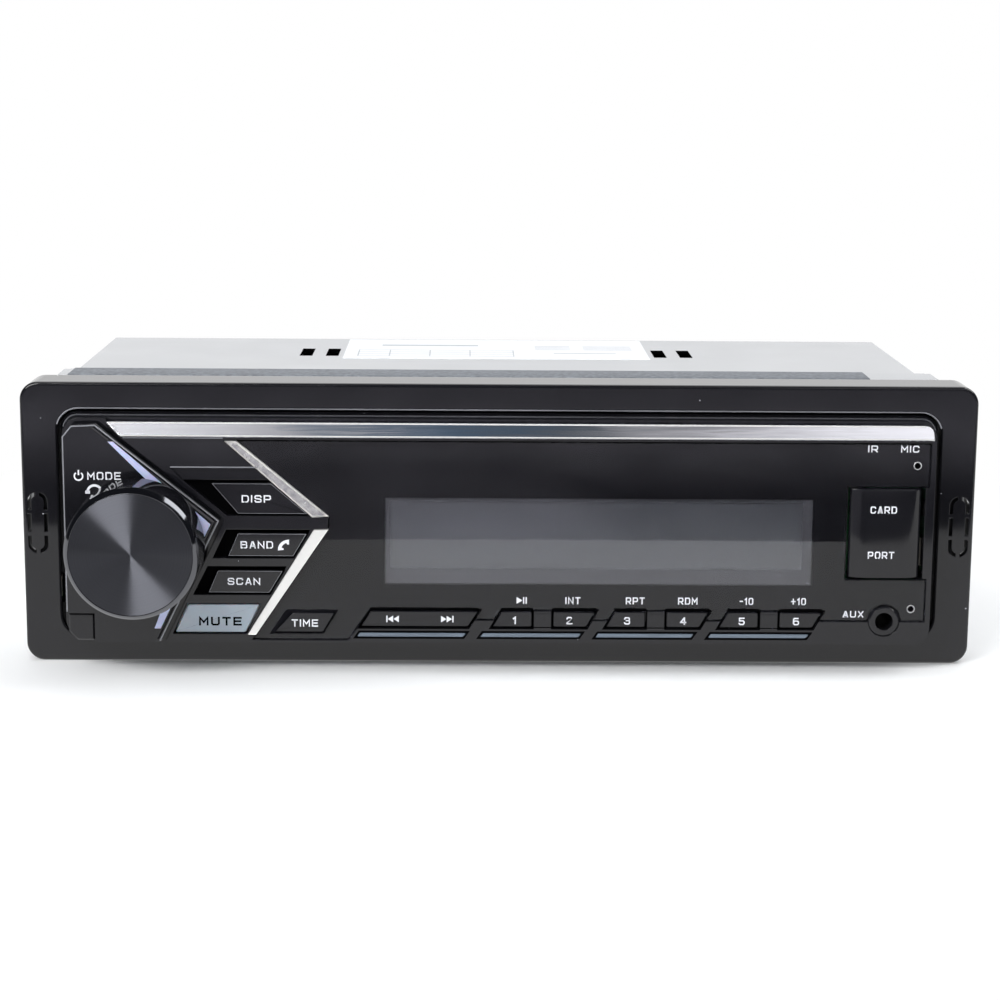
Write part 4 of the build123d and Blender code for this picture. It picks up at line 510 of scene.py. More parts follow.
# ---------------------------------------------------------------- modelling
def pair_boxes(left, low, right, high):
    """A rectangle's corners in each pair of presets."""
    return [box(start + left, low, start + right, high) for start in PAIR_LEFTS]


def only(geom, kind):
    """The items of one kind in a bmesh operator's result."""
    return [item for item in geom if isinstance(item, kind)]


def raise_faces(bm, faces, way):
    """Extrudes faces along a way, in metres, and returns the new ones."""
    raised = bmesh.ops.extrude_face_region(bm, geom=faces)["geom"]
    bmesh.ops.translate(bm, verts=only(raised, bmesh.types.BMVert), vec=way)
    return only(raised, bmesh.types.BMFace)


def slab(bm, corners, back, ahead, where=front):
    """A prism on an outline between two heights; returns its outer face."""
    base = bm.faces.new([bm.verts.new(where(a, b, back)) for a, b in corners])
    return raise_faces(bm, [base], where(0, 0, ahead) - where(0, 0, back))[0]


def sheet(bm, outlines, back, ahead, where=front):
    """A flat sheet inside the first closed outline and outside the others."""
    edges = []
    for outline in outlines:
        ring = [bm.verts.new(where(a, b, back)) for a, b in outline]
        edges += [bm.edges.new(pair) for pair in zip(ring, ring[1:] + ring[:1])]
    filled = bmesh.ops.triangle_fill(bm, edges=edges, use_beauty=True)["geom"]
    raise_faces(bm, only(filled, bmesh.types.BMFace), where(0, 0, ahead) - where(0, 0, back))


def beside(points, distance, closed=False):
    """A line of points moved to its left, with mitred corners."""
    moved = []
    for i, point in enumerate(points):
        ways = []
        if closed or i:
            ways.append(Vector(point) - Vector(points[i - 1]))
        if closed or i < len(points) - 1:
            ways.append(Vector(points[(i + 1) % len(points)]) - Vector(point))
        lefts = [Vector((-way.y, way.x)).normalized() for way in ways]
        mitre = (lefts[0] + lefts[-1]).normalized()
        moved.append(tuple(Vector(point) + mitre * distance / max(mitre.dot(lefts[0]), 0.45)))
    return moved


def grown(outline, *distances):
    """Copies of a closed clockwise outline, each grown by a distance, or shrunk by a negative."""
    return [beside(outline, distance, closed=True) for distance in distances]


def arc(x, z, radius, first, last, steps=14):
    """A curved line: its centre, radius and angles in degrees."""
    turns = [math.radians(first + (last - first) * i / steps) for i in range(steps + 1)]
    return [(x + radius * math.cos(t), z + radius * math.sin(t)) for t in turns]


def pen(line, width, cap=0.0):
    """The outline that a flat pen leaves along a line, longer by a cap at each end."""
    line = [Vector(point) for point in line]
    line[0] = line[0] + (line[0] - line[1]).normalized() * cap
    line[-1] = line[-1] + (line[-1] - line[-2]).normalized() * cap
    return beside(line, width / 2) + beside(line, -width / 2)[::-1]


def box(left, low, right, high):
    """A rectangle's corners."""
    return [(left, low), (right, low), (right, high), (left, high)]


def rod(bm, middle, radius, length, axis="Y"):
    """A round rod about a point in the frame."""
    turned = Matrix.Rotation(math.pi / 2, 4, "X") if axis == "Y" else Matrix()
    bmesh.ops.create_cone(bm, cap_ends=True, segments=24, radius1=radius * MM, radius2=radius * MM,
                          depth=length * MM, matrix=Matrix.Translation(middle) @ turned)


def round_off(bm, edges, radius, segments=3):
    """Rounds edges to a radius in metres."""
    bmesh.ops.bevel(bm, geom=edges, offset=radius, offset_type="OFFSET", segments=segments,
                    profile=0.5, affect="EDGES", material=-1, clamp_overlap=True)


def lies_at(item, ahead):
    """Whether an edge or a face lies wholly at one height ahead."""
    return all(abs(v.co.y + ahead * MM) < SAME_PLACE for v in item.verts)


def edges_at(bm, ahead):
    """The edges that lie at one height ahead."""
    return [e for e in bm.edges if lies_at(e, ahead)]


def uprights(bm, length):
    """The edges that run ahead by more than a length in metres."""
    return [e for e in bm.edges if abs(e.verts[0].co.y - e.verts[1].co.y) > length]


def inset(bm, faces, thickness, depth=0.0):
    """Insets each face by a thickness and raises it by a depth, in metres."""
    bmesh.ops.inset_individual(bm, faces=faces, thickness=thickness, depth=depth,
                               use_even_offset=True)


def keep_flat(bm, ahead):
    """Insets the faces at one height by a hair, so that smooth shading leaves them flat."""
    inset(bm, [f for f in bm.faces if lies_at(f, ahead)], 0.03 * MM)


def turn(bm, profile, x=KNOB_X, z=KNOB_Z, segments=96):
    """Spins a profile of radius, ahead points round an axis that points ahead."""
    verts = [bm.verts.new(front(x + radius, z, ahead)) for radius, ahead in profile]
    edges = [bm.edges.new(pair) for pair in zip(verts, verts[1:])]
    if profile[0][0] > 0:
        edges.append(bm.edges.new((verts[-1], verts[0])))
    bmesh.ops.spin(bm, geom=verts + edges, cent=front(x, z, 0), axis=(0, 1, 0),
                   angle=2 * math.pi, steps=segments, use_merge=True)
    bmesh.ops.remove_doubles(bm, verts=bm.verts, dist=SAME_PLACE)


def put(name, data):
    """A new object in the scene."""
    made = bpy.data.objects.new(name, data)
    bpy.context.scene.collection.objects.link(made)
    return made


def put_mesh(name, bm, finish_name):
    """Turns a bmesh, in metres, into an object in one finish."""
    mesh = bpy.data.meshes.new(name)
    bm.to_mesh(mesh)
    bm.free()
    mesh.materials.append(FINISHES[finish_name])
    return put(name, mesh)


def add_piece(name, bm, finish_name, body="faceplate", stands_for=None, smooth_to=10.0):
    """Adds a piece that rides on a body and may replace a CAD piece; smooth up to an angle."""
    bmesh.ops.recalc_face_normals(bm, faces=bm.faces)
    for face in bm.faces:
        face.smooth = True
    piece = put_mesh(name, bm, finish_name)
    piece.data.set_sharp_from_angle(angle=math.radians(smooth_to))
    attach(piece, body)
    if stands_for:
        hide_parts(stands_for)


class RADIO_OT_keys(bpy.types.Operator):
    """Moulds the keys and the seek rocker with rounded edges"""
    bl_idname = "radio.keys"
    bl_label = "Keys"

    def execute(self, context):
        sizes = context.scene.radio_sizes
        for name, corners in KEY_OUTLINES.items():
            bm = bmesh.new()
            shelf = slab(bm, *grown(corners, FLANGE_REACH), FLANGE_BACK, FLANGE_FRONT)
            inset(bm, [shelf], FLANGE_REACH * MM)
            raise_faces(bm, [shelf], front(0, 0, KEY_FRONT - FLANGE_FRONT))
            round_off(bm, uprights(bm, 2 * MM), sizes.key_corner)
            round_off(bm, edges_at(bm, KEY_FRONT), sizes.key_edge, segments=4)
            keep_flat(bm, KEY_FRONT)
            x, z = (sum(axis) / len(corners) for axis in zip(*corners))
            pushes = (0.0,)
            if name == "seek_rocker":
                pushes = (-ROCKER_PUSH, ROCKER_PUSH)
                rod(bm, front(ROCKER_X, (PIN_LOW + PIN_HIGH) / 2, ROCKER_AHEAD), PIN_RADIUS,
                    PIN_HIGH - PIN_LOW, axis="Z")
            for push in pushes:
                rod(bm, front(x + push, z, (PLUNGER_BACK + FLANGE_BACK) / 2), PLUNGER_RADIUS,
                    FLANGE_BACK - PLUNGER_BACK)
            kind = "smoked_polycarbonate" if name == "key_mute" else "piano_black_abs"
            add_piece("soft_" + name, bm, kind, name, name, smooth_to=35.0)
        return {"FINISHED"}


class RADIO_OT_door(bpy.types.Operator):
    """Moulds the socket door with its crowned front"""
    bl_idname = "radio.door"
    bl_label = "Socket door"

    def execute(self, context):
        bm = bmesh.new()
        slab(bm, DOOR_SECTION, DOOR_LOW, DOOR_HIGH, top)
        ends = [e for e in bm.edges if all(v.co.y < -CROWN_FROM * MM for v in e.verts)
                and abs(e.verts[0].co.z - e.verts[1].co.z) < SAME_PLACE]
        round_off(bm, ends, context.scene.radio_sizes.door_edge)
        # A loop beside each rounded end keeps the crown's shading even
        for height in (DOOR_LOW + CROWN_LOOP, DOOR_HIGH - CROWN_LOOP):
            bmesh.ops.bisect_plane(bm, geom=bm.verts[:] + bm.edges[:] + bm.faces[:],
                                   plane_co=top(0, 0, height), plane_no=(0, 0, 1))
        rod(bm, front(HINGE_X, (DOOR_LOW + DOOR_HIGH) / 2, HINGE_AHEAD), PIN_RADIUS,
            DOOR_HIGH - DOOR_LOW + 2 * HINGE_REACH, axis="Z")
        add_piece("crowned_door", bm, "piano_black_abs", "media_door", "media_door",
                  smooth_to=30.0)
        return {"FINISHED"}


class RADIO_OT_light_bars(bpy.types.Operator):
    """Sets the light bars in their slots with a dark gap round each"""
    bl_idname = "radio.light_bars"
    bl_label = "Light bars"

    def execute(self, context):
        gap = context.scene.radio_sizes.bar_gap / MM
        back, ahead = (-corner[1] / MM for corner in reversed(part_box("key_light_bars")))
        bm = bmesh.new()
        for corners in LIGHT_BARS:
            slab(bm, *grown(corners, -gap), back, ahead)
        round_off(bm, uprights(bm, 0.01 * MM), BAR_CORNER * MM)
        round_off(bm, edges_at(bm, ahead), BAR_EDGE * MM, segments=2)
        keep_flat(bm, ahead)
        add_piece("soft_light_bars", bm, "smoked_acrylic", stands_for="key_light_bars",
                  smooth_to=35.0)
        return {"FINISHED"}


class RADIO_OT_chevron(bpy.types.Operator):
    """Forms the chevron bars; the upper has a pale rim with painted gleam round a brushed sunk face
    """
    bl_idname = "radio.chevron"
    bl_label = "Chevron bars"

    def execute(self, context):
        rim = context.scene.radio_sizes.bar_rim
        bm = bmesh.new()
        upper = slab(bm, UPPER_BAR, BAR_BACK, BAR_FRONT - rim / MM)
        # The rim's outer slope, its flat and its inner slope: width and rise in rim widths
        for width, rise in ((0.2, 1.0), (0.75, 0.0), (0.2, -0.6)):
            inset(bm, [upper], width * rim, rise * rim)
        # The lower bar is plain, with a chamfer all round, and pale with the same painted gleam
        lower = slab(bm, LOWER_BAR, BAR_BACK, BAR_FRONT - 0.1)
        inset(bm, [lower], 0.12 * MM, 0.1 * MM)
        add_piece("rimmed_chevron", bm, "pale_rim_painted_gleam", stands_for="chevron_bars")
        # The brushed face starts just inside the rim and lies below it
        bm = bmesh.new()
        slab(bm, *grown(UPPER_BAR, -1.05 * rim / MM), BAR_BACK + 0.2, BAR_FRONT - 0.5 * rim / MM)
        add_piece("chevron_face", bm, "brushed_chrome", stands_for="chevron_bars")
        return {"FINISHED"}


class RADIO_OT_wells(bpy.types.Operator):
    """Paints black shade into the key wells and the gaps round the lower keys and light bars"""
    bl_idname = "radio.wells"
    bl_label = "Key wells"

    def execute(self, context):
        ink = context.scene.radio_sizes.ink / MM
        on_face = FACE_FRONT, FACE_FRONT + ink
        bm = bmesh.new()
        for name, corners in WELLS.items():
            sheet(bm, grown(corners, WELL_WALL) + grown(KEY_OUTLINES[name], WELL_KEY), WELL_FLOOR,
                  WELL_FLOOR + SHADE_THICKNESS)
        # Painted shadow: black lines round the lower keys and light bars and between the presets
        for name, corners in KEY_OUTLINES.items():
            if name.startswith(("seek_", "preset_")):
                sheet(bm, grown(corners, *KEY_SHADOW_LINE), *on_face)
                (left, high), (right, _) = corners[:2]
                low, high = (high + out for out in UPPER_SHADOW_LINE)
                slab(bm, box(left - 0.2, low, right + 0.2, high), *on_face)
        for corners in LIGHT_BARS:
            sheet(bm, grown(corners, *BAR_SHADOW_LINE), *on_face)
        for corners in pair_boxes(*PAIR_SHADOW_LINE):
            slab(bm, corners, *on_face)
        add_piece("painted_well_shade", bm, "painted_shade_black")
        bm = bmesh.new()
        for corners in pair_boxes(*PAIR_FILLER):
            slab(bm, corners, LENS_BACK, FACE_FRONT + ink / 2)
        add_piece("pair_fillers", bm, "piano_black_abs")
        return {"FINISHED"}


class RADIO_OT_backing(bpy.types.Operator):
    """Prints the black backing behind the lens, open at the display and at the small holes"""
    bl_idname = "radio.backing"
    bl_label = "Lens backing"

    def execute(self, context):
        outline = LENS_TOP + arc(AUX_X, LENS_TOP[-1][1], AUX_CLEARANCE, 0, 180)
        for left in reversed(PAIR_LEFTS):
            outline += [(x + left, z) for x, z in LENS_NOTCH]
        holes = [arc(x, z, HOLE_RADIUS, 0, 345, 23) for x, z in SMALL_HOLES]
        bm = bmesh.new()
        sheet(bm, grown(outline + LENS_LEFT, BACKING_INSET) + [box(*DISPLAY), *holes],
              LENS_BACK - 0.1, LENS_BACK + 0.05)
        add_piece("lens_backing", bm, "backing_ink")
        return {"FINISHED"}


class RADIO_OT_edges(bpy.types.Operator):
    """Adds painted highlights: beads on edges and keys, the strip's rims and the holes' rims"""
    bl_idname = "radio.edges"
    bl_label = "Edge beads and rims"

    def execute(self, context):
        bead = context.scene.radio_sizes.bead / MM
        x, z, radius = OPENING
        lip = arc(-x, z, radius, 165, 90, 8) + arc(x, z, radius, 90, 15, 8)
        # Painted highlights: grey beads on edges and pale rims on the chrome strip
        for name, kind, body, lines in (
                ("face_highlight_beads", "painted_edge_highlight", "faceplate", FACE_HIGHLIGHT_BEADS),
                ("trim_highlight_bead", "painted_edge_highlight", "chassis", [(TRIM_FRONT, lip)]),
                ("strip_painted_gleam", "pale_rim_painted_gleam", "faceplate", STRIP_GLEAM_BEADS)):
            bm = bmesh.new()
            for ahead, line in lines:
                slab(bm, pen(line, bead), ahead - BEAD_ROOT, ahead + BEAD_PROUD)
            add_piece(name, bm, kind, body)
        # Painted highlight: a pale rim on the front edge of some keys
        for name in HIGHLIGHT_RIMMED_KEYS:
            bm = bmesh.new()
            sheet(bm, grown(KEY_OUTLINES[name], *KEY_HIGHLIGHT_RIM), KEY_FRONT - 0.1, KEY_FRONT + 0.01)
            add_piece("rim_" + name, bm, "painted_edge_highlight", name)
        # Painted glints: bright arcs round the small holes
        bm = bmesh.new()
        for x, z in SMALL_HOLES:
            turn(bm, HOLE_GLINT_RIM, x, z, segments=32)
        add_piece("hole_glint_rims", bm, "painted_glint_rim", smooth_to=60.0)
        return {"FINISHED"}


class RADIO_OT_knob(bpy.types.Operator):
    """Turns the knob: a black skirt, a diamond-cut edge and a spun face"""
    bl_idname = "radio.knob"
    bl_label = "Volume knob"

    def execute(self, context):
        for name, profile, kind, node in (
                ("knob_skirt", KNOB_SKIRT, "piano_black_abs", "knob_body"),
                ("knob_edge", KNOB_EDGE, "diamond_cut_aluminium", "knob_cap"),
                ("knob_face", KNOB_FACE, "spun_aluminium", "knob_cap")):
            bm = bmesh.new()
            turn(bm, profile)
            add_piece(name, bm, kind, "knob", node, smooth_to=25.0)
        return {"FINISHED"}


def pull(bm, ring, wider, rise):
    """Extrudes a ring of edges, widens and raises it, and returns the new ring."""
    pulled = bmesh.ops.extrude_edge_only(bm, edges=ring)["geom"]
    verts = only(pulled, bmesh.types.BMVert)
    bmesh.ops.scale(bm, verts=verts, vec=(wider, wider, 1))
    bmesh.ops.translate(bm, verts=verts, vec=(0, 0, rise))
    return [e for e in only(pulled, bmesh.types.BMEdge)
            if e.verts[0] in verts and e.verts[1] in verts]


def cross_head(bm, place, outward, radius, height):
    """One domed screw head with a cross recess, sized in shares of its radius and height."""
    old = set(bm.verts)
    rim = bmesh.ops.create_circle(bm, segments=24, radius=0.8 * radius * MM)["verts"]
    reach, half = 0.55 * radius * MM, 0.13 * radius * MM
    arms = []
    for quarter in range(4):
        spin = Matrix.Rotation(quarter * math.pi / 2, 3, "Z")
        arms += [bm.verts.new(spin @ Vector(p)) for p in (
            (reach, -half, 0), (reach, half, 0), (half, half, 0))]
    arm_edges = [bm.edges.new(pair) for pair in zip(arms, arms[1:] + arms[:1])]
    ring = list({e for v in rim for e in v.link_edges})
    bmesh.ops.triangle_fill(bm, edges=arm_edges + ring, use_beauty=True)
    recess = pull(bm, arm_edges, 0.55, -0.6 * height * MM)
    bmesh.ops.triangle_fill(bm, edges=recess, use_beauty=True)
    for wider, rise in ((0.95 / 0.8, -0.14), (1 / 0.95, -0.24), (1.0, -0.62)):
        ring = pull(bm, ring, wider, rise * height * MM)
    bmesh.ops.edgeloop_fill(bm, edges=ring)
    new = [v for v in bm.verts if v not in old]
    facing = Vector(outward).to_track_quat("Z", "Y").to_matrix().to_4x4()
    seat = Matrix.Translation(Vector(place) * MM + Vector(outward) * height * MM)
    bmesh.ops.transform(bm, matrix=seat @ facing, verts=new)


class RADIO_OT_screws(bpy.types.Operator):
    """Forms the cross-head screws"""
    bl_idname = "radio.screws"
    bl_label = "Screws"

    def execute(self, context):
        height = context.scene.radio_sizes.screw_height / MM
        for node, body, kind in (("chassis_screws", "chassis", "zinc_screw"),
                                 ("faceplate_screws", "faceplate", "black_zinc_screw")):
            bm = bmesh.new()
            for place, outward, radius in SCREWS[node]:
                cross_head(bm, place, outward, radius, height)
            add_piece("cross_" + node, bm, kind, body, node, smooth_to=35.0)
        return {"FINISHED"}


# ---------------------------------------------------------------- lettering
# A square extended alphabet, drawn as centre lines in a cell one unit high. The pen is WEIGHT
# wide, or BOLD for dark letters on a pale key
WEIGHT, BOLD, LETTER_GAP = 0.2, 0.27, 0.36
ALPHABET = {
    "A": [[(0.05, 0), (0.42, 1), (0.58, 1), (0.95, 0)], [(0.3, 0.28), (0.7, 0.28)]],
    "B": [[(0.4, 0), (0, 0), (0, 1), (0.82, 1), (0.95, 0.88), (0.95, 0.64), (0.84, 0.53),
           (1, 0.42), (1, 0.12), (0.86, 0), (0.4, 0)], [(0.1, 0.53), (0.76, 0.53)]],
    "C": [[(1, 0.8), (0.86, 1), (0.16, 1), (0, 0.84), (0, 0.16), (0.16, 0), (0.86, 0), (1, 0.2)]],
    "D": [[(0.4, 0), (0, 0), (0, 1), (0.8, 1), (1, 0.8), (1, 0.2), (0.8, 0), (0.4, 0)]],
    "E": [[(0.95, 1), (0, 1), (0, 0), (0.95, 0)], [(0.1, 0.5), (0.85, 0.5)]],
    "I": [[(0, 0), (0, 1)]],
    "M": [[(0, 0), (0, 1), (0.55, 0.35), (1.1, 1), (1.1, 0)]],
    "N": [[(0, 0), (0, 1), (1, 0), (1, 1)]],
    "O": [[(0.5, 0), (0.16, 0), (0, 0.16), (0, 0.84), (0.16, 1), (0.84, 1), (1, 0.84), (1, 0.16),
           (0.84, 0), (0.5, 0)]],
    "P": [[(0, 0), (0, 1), (0.85, 1), (1, 0.87), (1, 0.52), (0.85, 0.39), (0.1, 0.39)]],
    "S": [[(1, 0.8), (0.86, 1), (0.14, 1), (0, 0.87), (0, 0.66), (0.14, 0.54), (0.86, 0.46),
           (1, 0.34), (1, 0.13), (0.86, 0), (0.14, 0), (0, 0.2)]],
    "T": [[(0, 1), (0.95, 1)], [(0.475, 0), (0.475, 0.9)]],
    "U": [[(0, 1), (0, 0.16), (0.16, 0), (0.84, 0), (1, 0.16), (1, 1)]],
    "X": [[(0.05, 0), (0.95, 1)], [(0.05, 1), (0.95, 0)]],
    "0": [[(0.42, 0), (0.15, 0), (0, 0.15), (0, 0.85), (0.15, 1), (0.69, 1), (0.84, 0.85),
           (0.84, 0.15), (0.69, 0), (0.42, 0)]],
    "1": [[(0, 0.78), (0.3, 1), (0.3, 0)]],
    "2": [[(0, 0.78), (0.14, 1), (0.66, 1), (0.8, 0.86), (0.8, 0.62), (0.02, 0.12), (0.02, 0),
           (0.84, 0)]],
    "3": [[(0, 0.82), (0.14, 1), (0.66, 1), (0.8, 0.88), (0.8, 0.64), (0.68, 0.53), (0.3, 0.53)],
          [(0.72, 0.5), (0.84, 0.4), (0.84, 0.12), (0.7, 0), (0.14, 0), (0, 0.18)]],
    "4": [[(0.66, 0), (0.66, 1)], [(0.56, 0.94), (0.06, 0.34)], [(0, 0.28), (0.88, 0.28)]],
    "5": [[(0.8, 1), (0.04, 1), (0.04, 0.58), (0.68, 0.58), (0.84, 0.44), (0.84, 0.14), (0.7, 0),
           (0.14, 0), (0, 0.17)]],
    "6": [[(0.74, 1), (0.15, 1), (0, 0.85), (0, 0.15), (0.15, 0), (0.69, 0), (0.84, 0.14),
           (0.84, 0.43), (0.69, 0.57), (0.1, 0.57)]],
    "+": [[(0, 0.5), (0.8, 0.5)], [(0.4, 0.1), (0.4, 0.9)]],
    "-": [[(0, 0.5), (0.5, 0.5)]],
}
ALPHABET["R"] = ALPHABET["P"] + [[(0.6, 0.3), (0.98, 0)]]

# Signs about one unit high: power, telephone, play and pause, back and forward
SIGNS = {
    "power": [pen(arc(0, -0.08, 0.42, 128, 412, 20), 0.15), box(-0.075, 0.02, 0.075, 0.55)],
    "telephone": [arc(0.45, -0.5, 0.98, 92, 186) + arc(0.45, -0.5, 0.5, 184, 170, 2)
                  + arc(0.45, -0.5, 0.7, 164, 114) + arc(0.45, -0.5, 0.5, 108, 94, 2)],
    "handset": [pen(arc(0, -0.3, 0.78, 8, 172), 0.26), box(-1.02, -0.45, -0.5, -0.1),
                box(0.5, -0.45, 1.02, -0.1)],
    "play_pause": [[(-0.75, -0.5), (0.1, 0.0), (-0.75, 0.5)], box(0.18, -0.5, 0.36, 0.5),
                   box(0.55, -0.5, 0.73, 0.5)],
    "back": [box(-0.98, -0.5, -0.8, 0.5), [(-0.76, 0.0), (0.05, -0.5), (0.05, 0.5)],
             [(0.09, 0.0), (0.9, -0.5), (0.9, 0.5)]],
}
SIGNS["forward"] = [[(-x, z) for x, z in shape[::-1]] for shape in SIGNS["back"]]

# Words and signs: the body that carries them, how far ahead, and each one's text, X, Z, height and
# how far it is drawn out sideways
LEGENDS = {
    "legend_display": ("key_display", KEY_FRONT, [("DISP", -47.3, 6.5, 1.45, 0.95)]),
    "legend_band": ("key_band", KEY_FRONT, [
        ("BAND", -47.3, -2.6, 1.45, 0.88), ("*telephone", -42.0, -2.5, 2.0, 1.15)]),
    "legend_scan": ("key_scan", KEY_FRONT, [("SCAN", -49.9, -9.9, 1.4, 0.92)]),
    "legend_mute": ("key_mute", KEY_FRONT, [("MUTE", -54.6, -17.9, 1.75, 0.98)]),
    "legend_clock": ("key_clock", KEY_FRONT, [("TIME", -38.1, -18.2, 1.45, 0.85)]),
    "legend_seek": ("seek_rocker", KEY_FRONT, [
        ("*back", -20.9, -17.3, 1.3, 1.0), ("*forward", -10.3, -17.3, 1.3, 1.0)]),
    "legend_modes": ("faceplate", PANEL_FRONT, [
        ("*power", -81.3, 11.2, 1.9, 1.0), ("MODE", -76.4, 11.1, 1.5, 0.85),
        ("*handset", -78.3, 8.4, 1.75, 1.0)]),
    "legend_rows": ("faceplate", FACE_FRONT, [
        ("*play_pause", 4.3, -13.4, 1.35, 1.0), ("INT", 14.3, -13.4, 1.4, 0.72),
        ("RPT", 26.5, -13.4, 1.4, 0.7), ("RDM", 36.8, -13.4, 1.4, 0.7),
        ("-10", 48.3, -13.4, 1.4, 0.72), ("+10", 58.5, -13.4, 1.4, 0.72),
        ("IR", 72.0, 17.0, 1.35, 0.95), ("MIC", 79.2, 17.0, 1.35, 0.9),
        ("AUX", 69.3, -15.9, 1.3, 0.88)]),
    "legend_door": ("media_door", DOOR_FRONT, [
        ("CARD", 74.5, 5.0, 1.4, 0.72), ("PORT", 74.3, -4.0, 1.4, 0.72)]),
}
for number, x in enumerate(PRESET_X, 1):
    LEGENDS[f"legend_{number}"] = (f"preset_{number}", KEY_FRONT,
                                   [(str(number), x, -17.5, 1.5, 0.9)])


def drawn_shapes(text, height, wide, weight):
    """The outlines of a word, in a pen of some weight, or of a sign, round its own middle."""
    if text.startswith("*"):
        return [[(a * height * wide, b * height) for a, b in shape] for shape in SIGNS[text[1:]]]
    scale = height / (1 + weight)
    widths = [max(a for line in ALPHABET[letter] for a, _ in line) * wide for letter in text]
    pitch = weight + LETTER_GAP * min(1.0, wide)
    left = -(sum(widths) + pitch * (len(text) - 1)) / 2
    shapes = []
    for letter, width in zip(text, widths):
        for line in ALPHABET[letter]:
            placed = [((left + a * wide) * scale, (b - 0.5) * scale) for a, b in line]
            shapes.append(pen(placed, weight * scale, weight * scale / 2))
        left += width + pitch
    return shapes


class RADIO_OT_lettering(bpy.types.Operator):
    """Prints the words, numbers and signs"""
    bl_idname = "radio.lettering"
    bl_label = "Lettering"

    def execute(self, context):
        ink = context.scene.radio_sizes.ink
        for name, (body, ahead, marks) in LEGENDS.items():
            kind, weight = ("dark_ink", BOLD) if body == "key_mute" else ("white_ink", WEIGHT)
            bm = bmesh.new()
            for text, x, z, height, wide in marks:
                for shape in drawn_shapes(text, height, wide, weight):
                    slab(bm, [(x + a, z + b) for a, b in shape], ahead, ahead + ink / MM)
            add_piece(name, bm, kind, body)
        return {"FINISHED"}


class RADIO_OT_label(bpy.types.Operator):
    """Prints the blank boxes and rules of the rating label"""
    bl_idname = "radio.label"
    bl_label = "Label print"

    def execute(self, context):
        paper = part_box("rating_label")[1][2] / MM
        # A grid on the left, two columns of rules on the right, a rule under them and a heading
        bars = [box(-31, y, 4, y + 0.25) for y in (54.0, 57.5, 61.0, 64.5)]
        bars += [box(x, 54.0, x + 0.25, 64.75) for x in (-31, -24, -15, -6, 3.75)]
        for left, right in ((9, 17), (20, 31)):
            bars += [box(left, y, right, y + 0.5) for y in (66, 68, 70, 72)]
        bars += [box(13, 59.4, 27, 60.4), box(-26, 72, -4, 74)]
        bm = bmesh.new()
        for bar in bars:
            slab(bm, bar, paper + 0.002, paper + 0.02, top)
        add_piece("label_print", bm, "grey_ink", "chassis")
        return {"FINISHED"}


class RADIO_OT_tape(bpy.types.Operator):
    """Lays the felt tape on the raised band and paints black shade on the vent slots' walls"""
    bl_idname = "radio.tape"
    bl_label = "Felt tape and vents"

    def execute(self, context):
        bm = bmesh.new()
        slab(bm, box(*TAPE), BAND_TOP, BAND_TOP + TAPE_HEIGHT, top)
        upper = [e for e in bm.edges if all(v.co.z > (BAND_TOP + 0.2) * MM for v in e.verts)]
        round_off(bm, upper, TAPE_EDGE * MM, segments=2)
        add_piece("band_tape", bm, "felt_tape", "chassis", smooth_to=35.0)
        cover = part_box("rating_label")[0][2] / MM
        bm = bmesh.new()
        # Painted shade: a thin black band on each vent slot's walls
        for x in VENT_X:
            corners = box(x - VENT_HALF, VENT_Y[0], x + VENT_HALF, VENT_Y[1])
            sheet(bm, [corners, *grown(corners, VENT_SHADE_WIDTH)], cover - COVER_SHEET, cover + 0.01,
                  top)
        add_piece("painted_vent_shade", bm, "painted_shade_black", "chassis")
        return {"FINISHED"}


# ---------------------------------------------------------------- stage
WHITE = (1, 1, 1, 1)
# The upper left soft boxes: place, target and size in metres, and the line of their width
UPPER_LEFT, SLANT = ((-0.6, -0.74, 0.74), (0, 0, 0), (0.85, 0.3)), (0.7, -0.18, 0.42)


def area_lamp(name, place, target, size, power, along=(1, 0, 0)):
    """A soft box at a place, in metres, that looks at a target with its width along a line."""
    lamp = bpy.data.lights.new(name, "AREA")
    lamp.shape = "RECTANGLE"
    lamp.size, lamp.size_y = size
    lamp.energy = power
    holder = put(name, lamp)
    back = (Vector(place) - Vector(target)).normalized()
    width = (Vector(along) - back * back.dot(Vector(along))).normalized()
    turned = Matrix((width, back.cross(width), back)).transposed().to_4x4()
    holder.matrix_world = Matrix.Translation(place) @ turned
    return holder


def straight_rays(add):
    """The kinds of rays, and those that come straight or through glass."""
    rays = add("LightPath").outputs
    direct = add("Math", [rays["Is Camera Ray"], rays["Is Transmission Ray"]], operation="MAXIMUM")
    return rays, direct


def flat_card(name, material, corners, mirrored_only=False):
    """A flat stage card through four corners, in metres; gloss and metal alone may see it."""
    bm = bmesh.new()
    bm.faces.new([bm.verts.new(c) for c in corners])
    card = put_mesh(name, bm, material)
    if mirrored_only:
        card.visible_camera = card.visible_diffuse = card.visible_shadow = False


def place_camera(stage):
    """Stands the camera ahead of the radio, with a lens of the stage's focal length."""
    scene = bpy.context.scene
    scene.camera = put("radio_camera", bpy.data.cameras.new("radio_camera"))
    lens = scene.camera.data
    lens.lens, lens.sensor_width, lens.clip_start = stage.lens, 36.0, 0.01
    pitch, roll, yaw = stage.turn
    scene.camera.matrix_world = (
        Matrix.Translation(stage.camera) @ Matrix.Rotation(-yaw, 4, "Z")
        @ Matrix.Rotation(math.pi / 2 - pitch, 4, "X") @ Matrix.Rotation(roll, 4, "Z"))
    scene.view_settings.view_transform = "Standard"


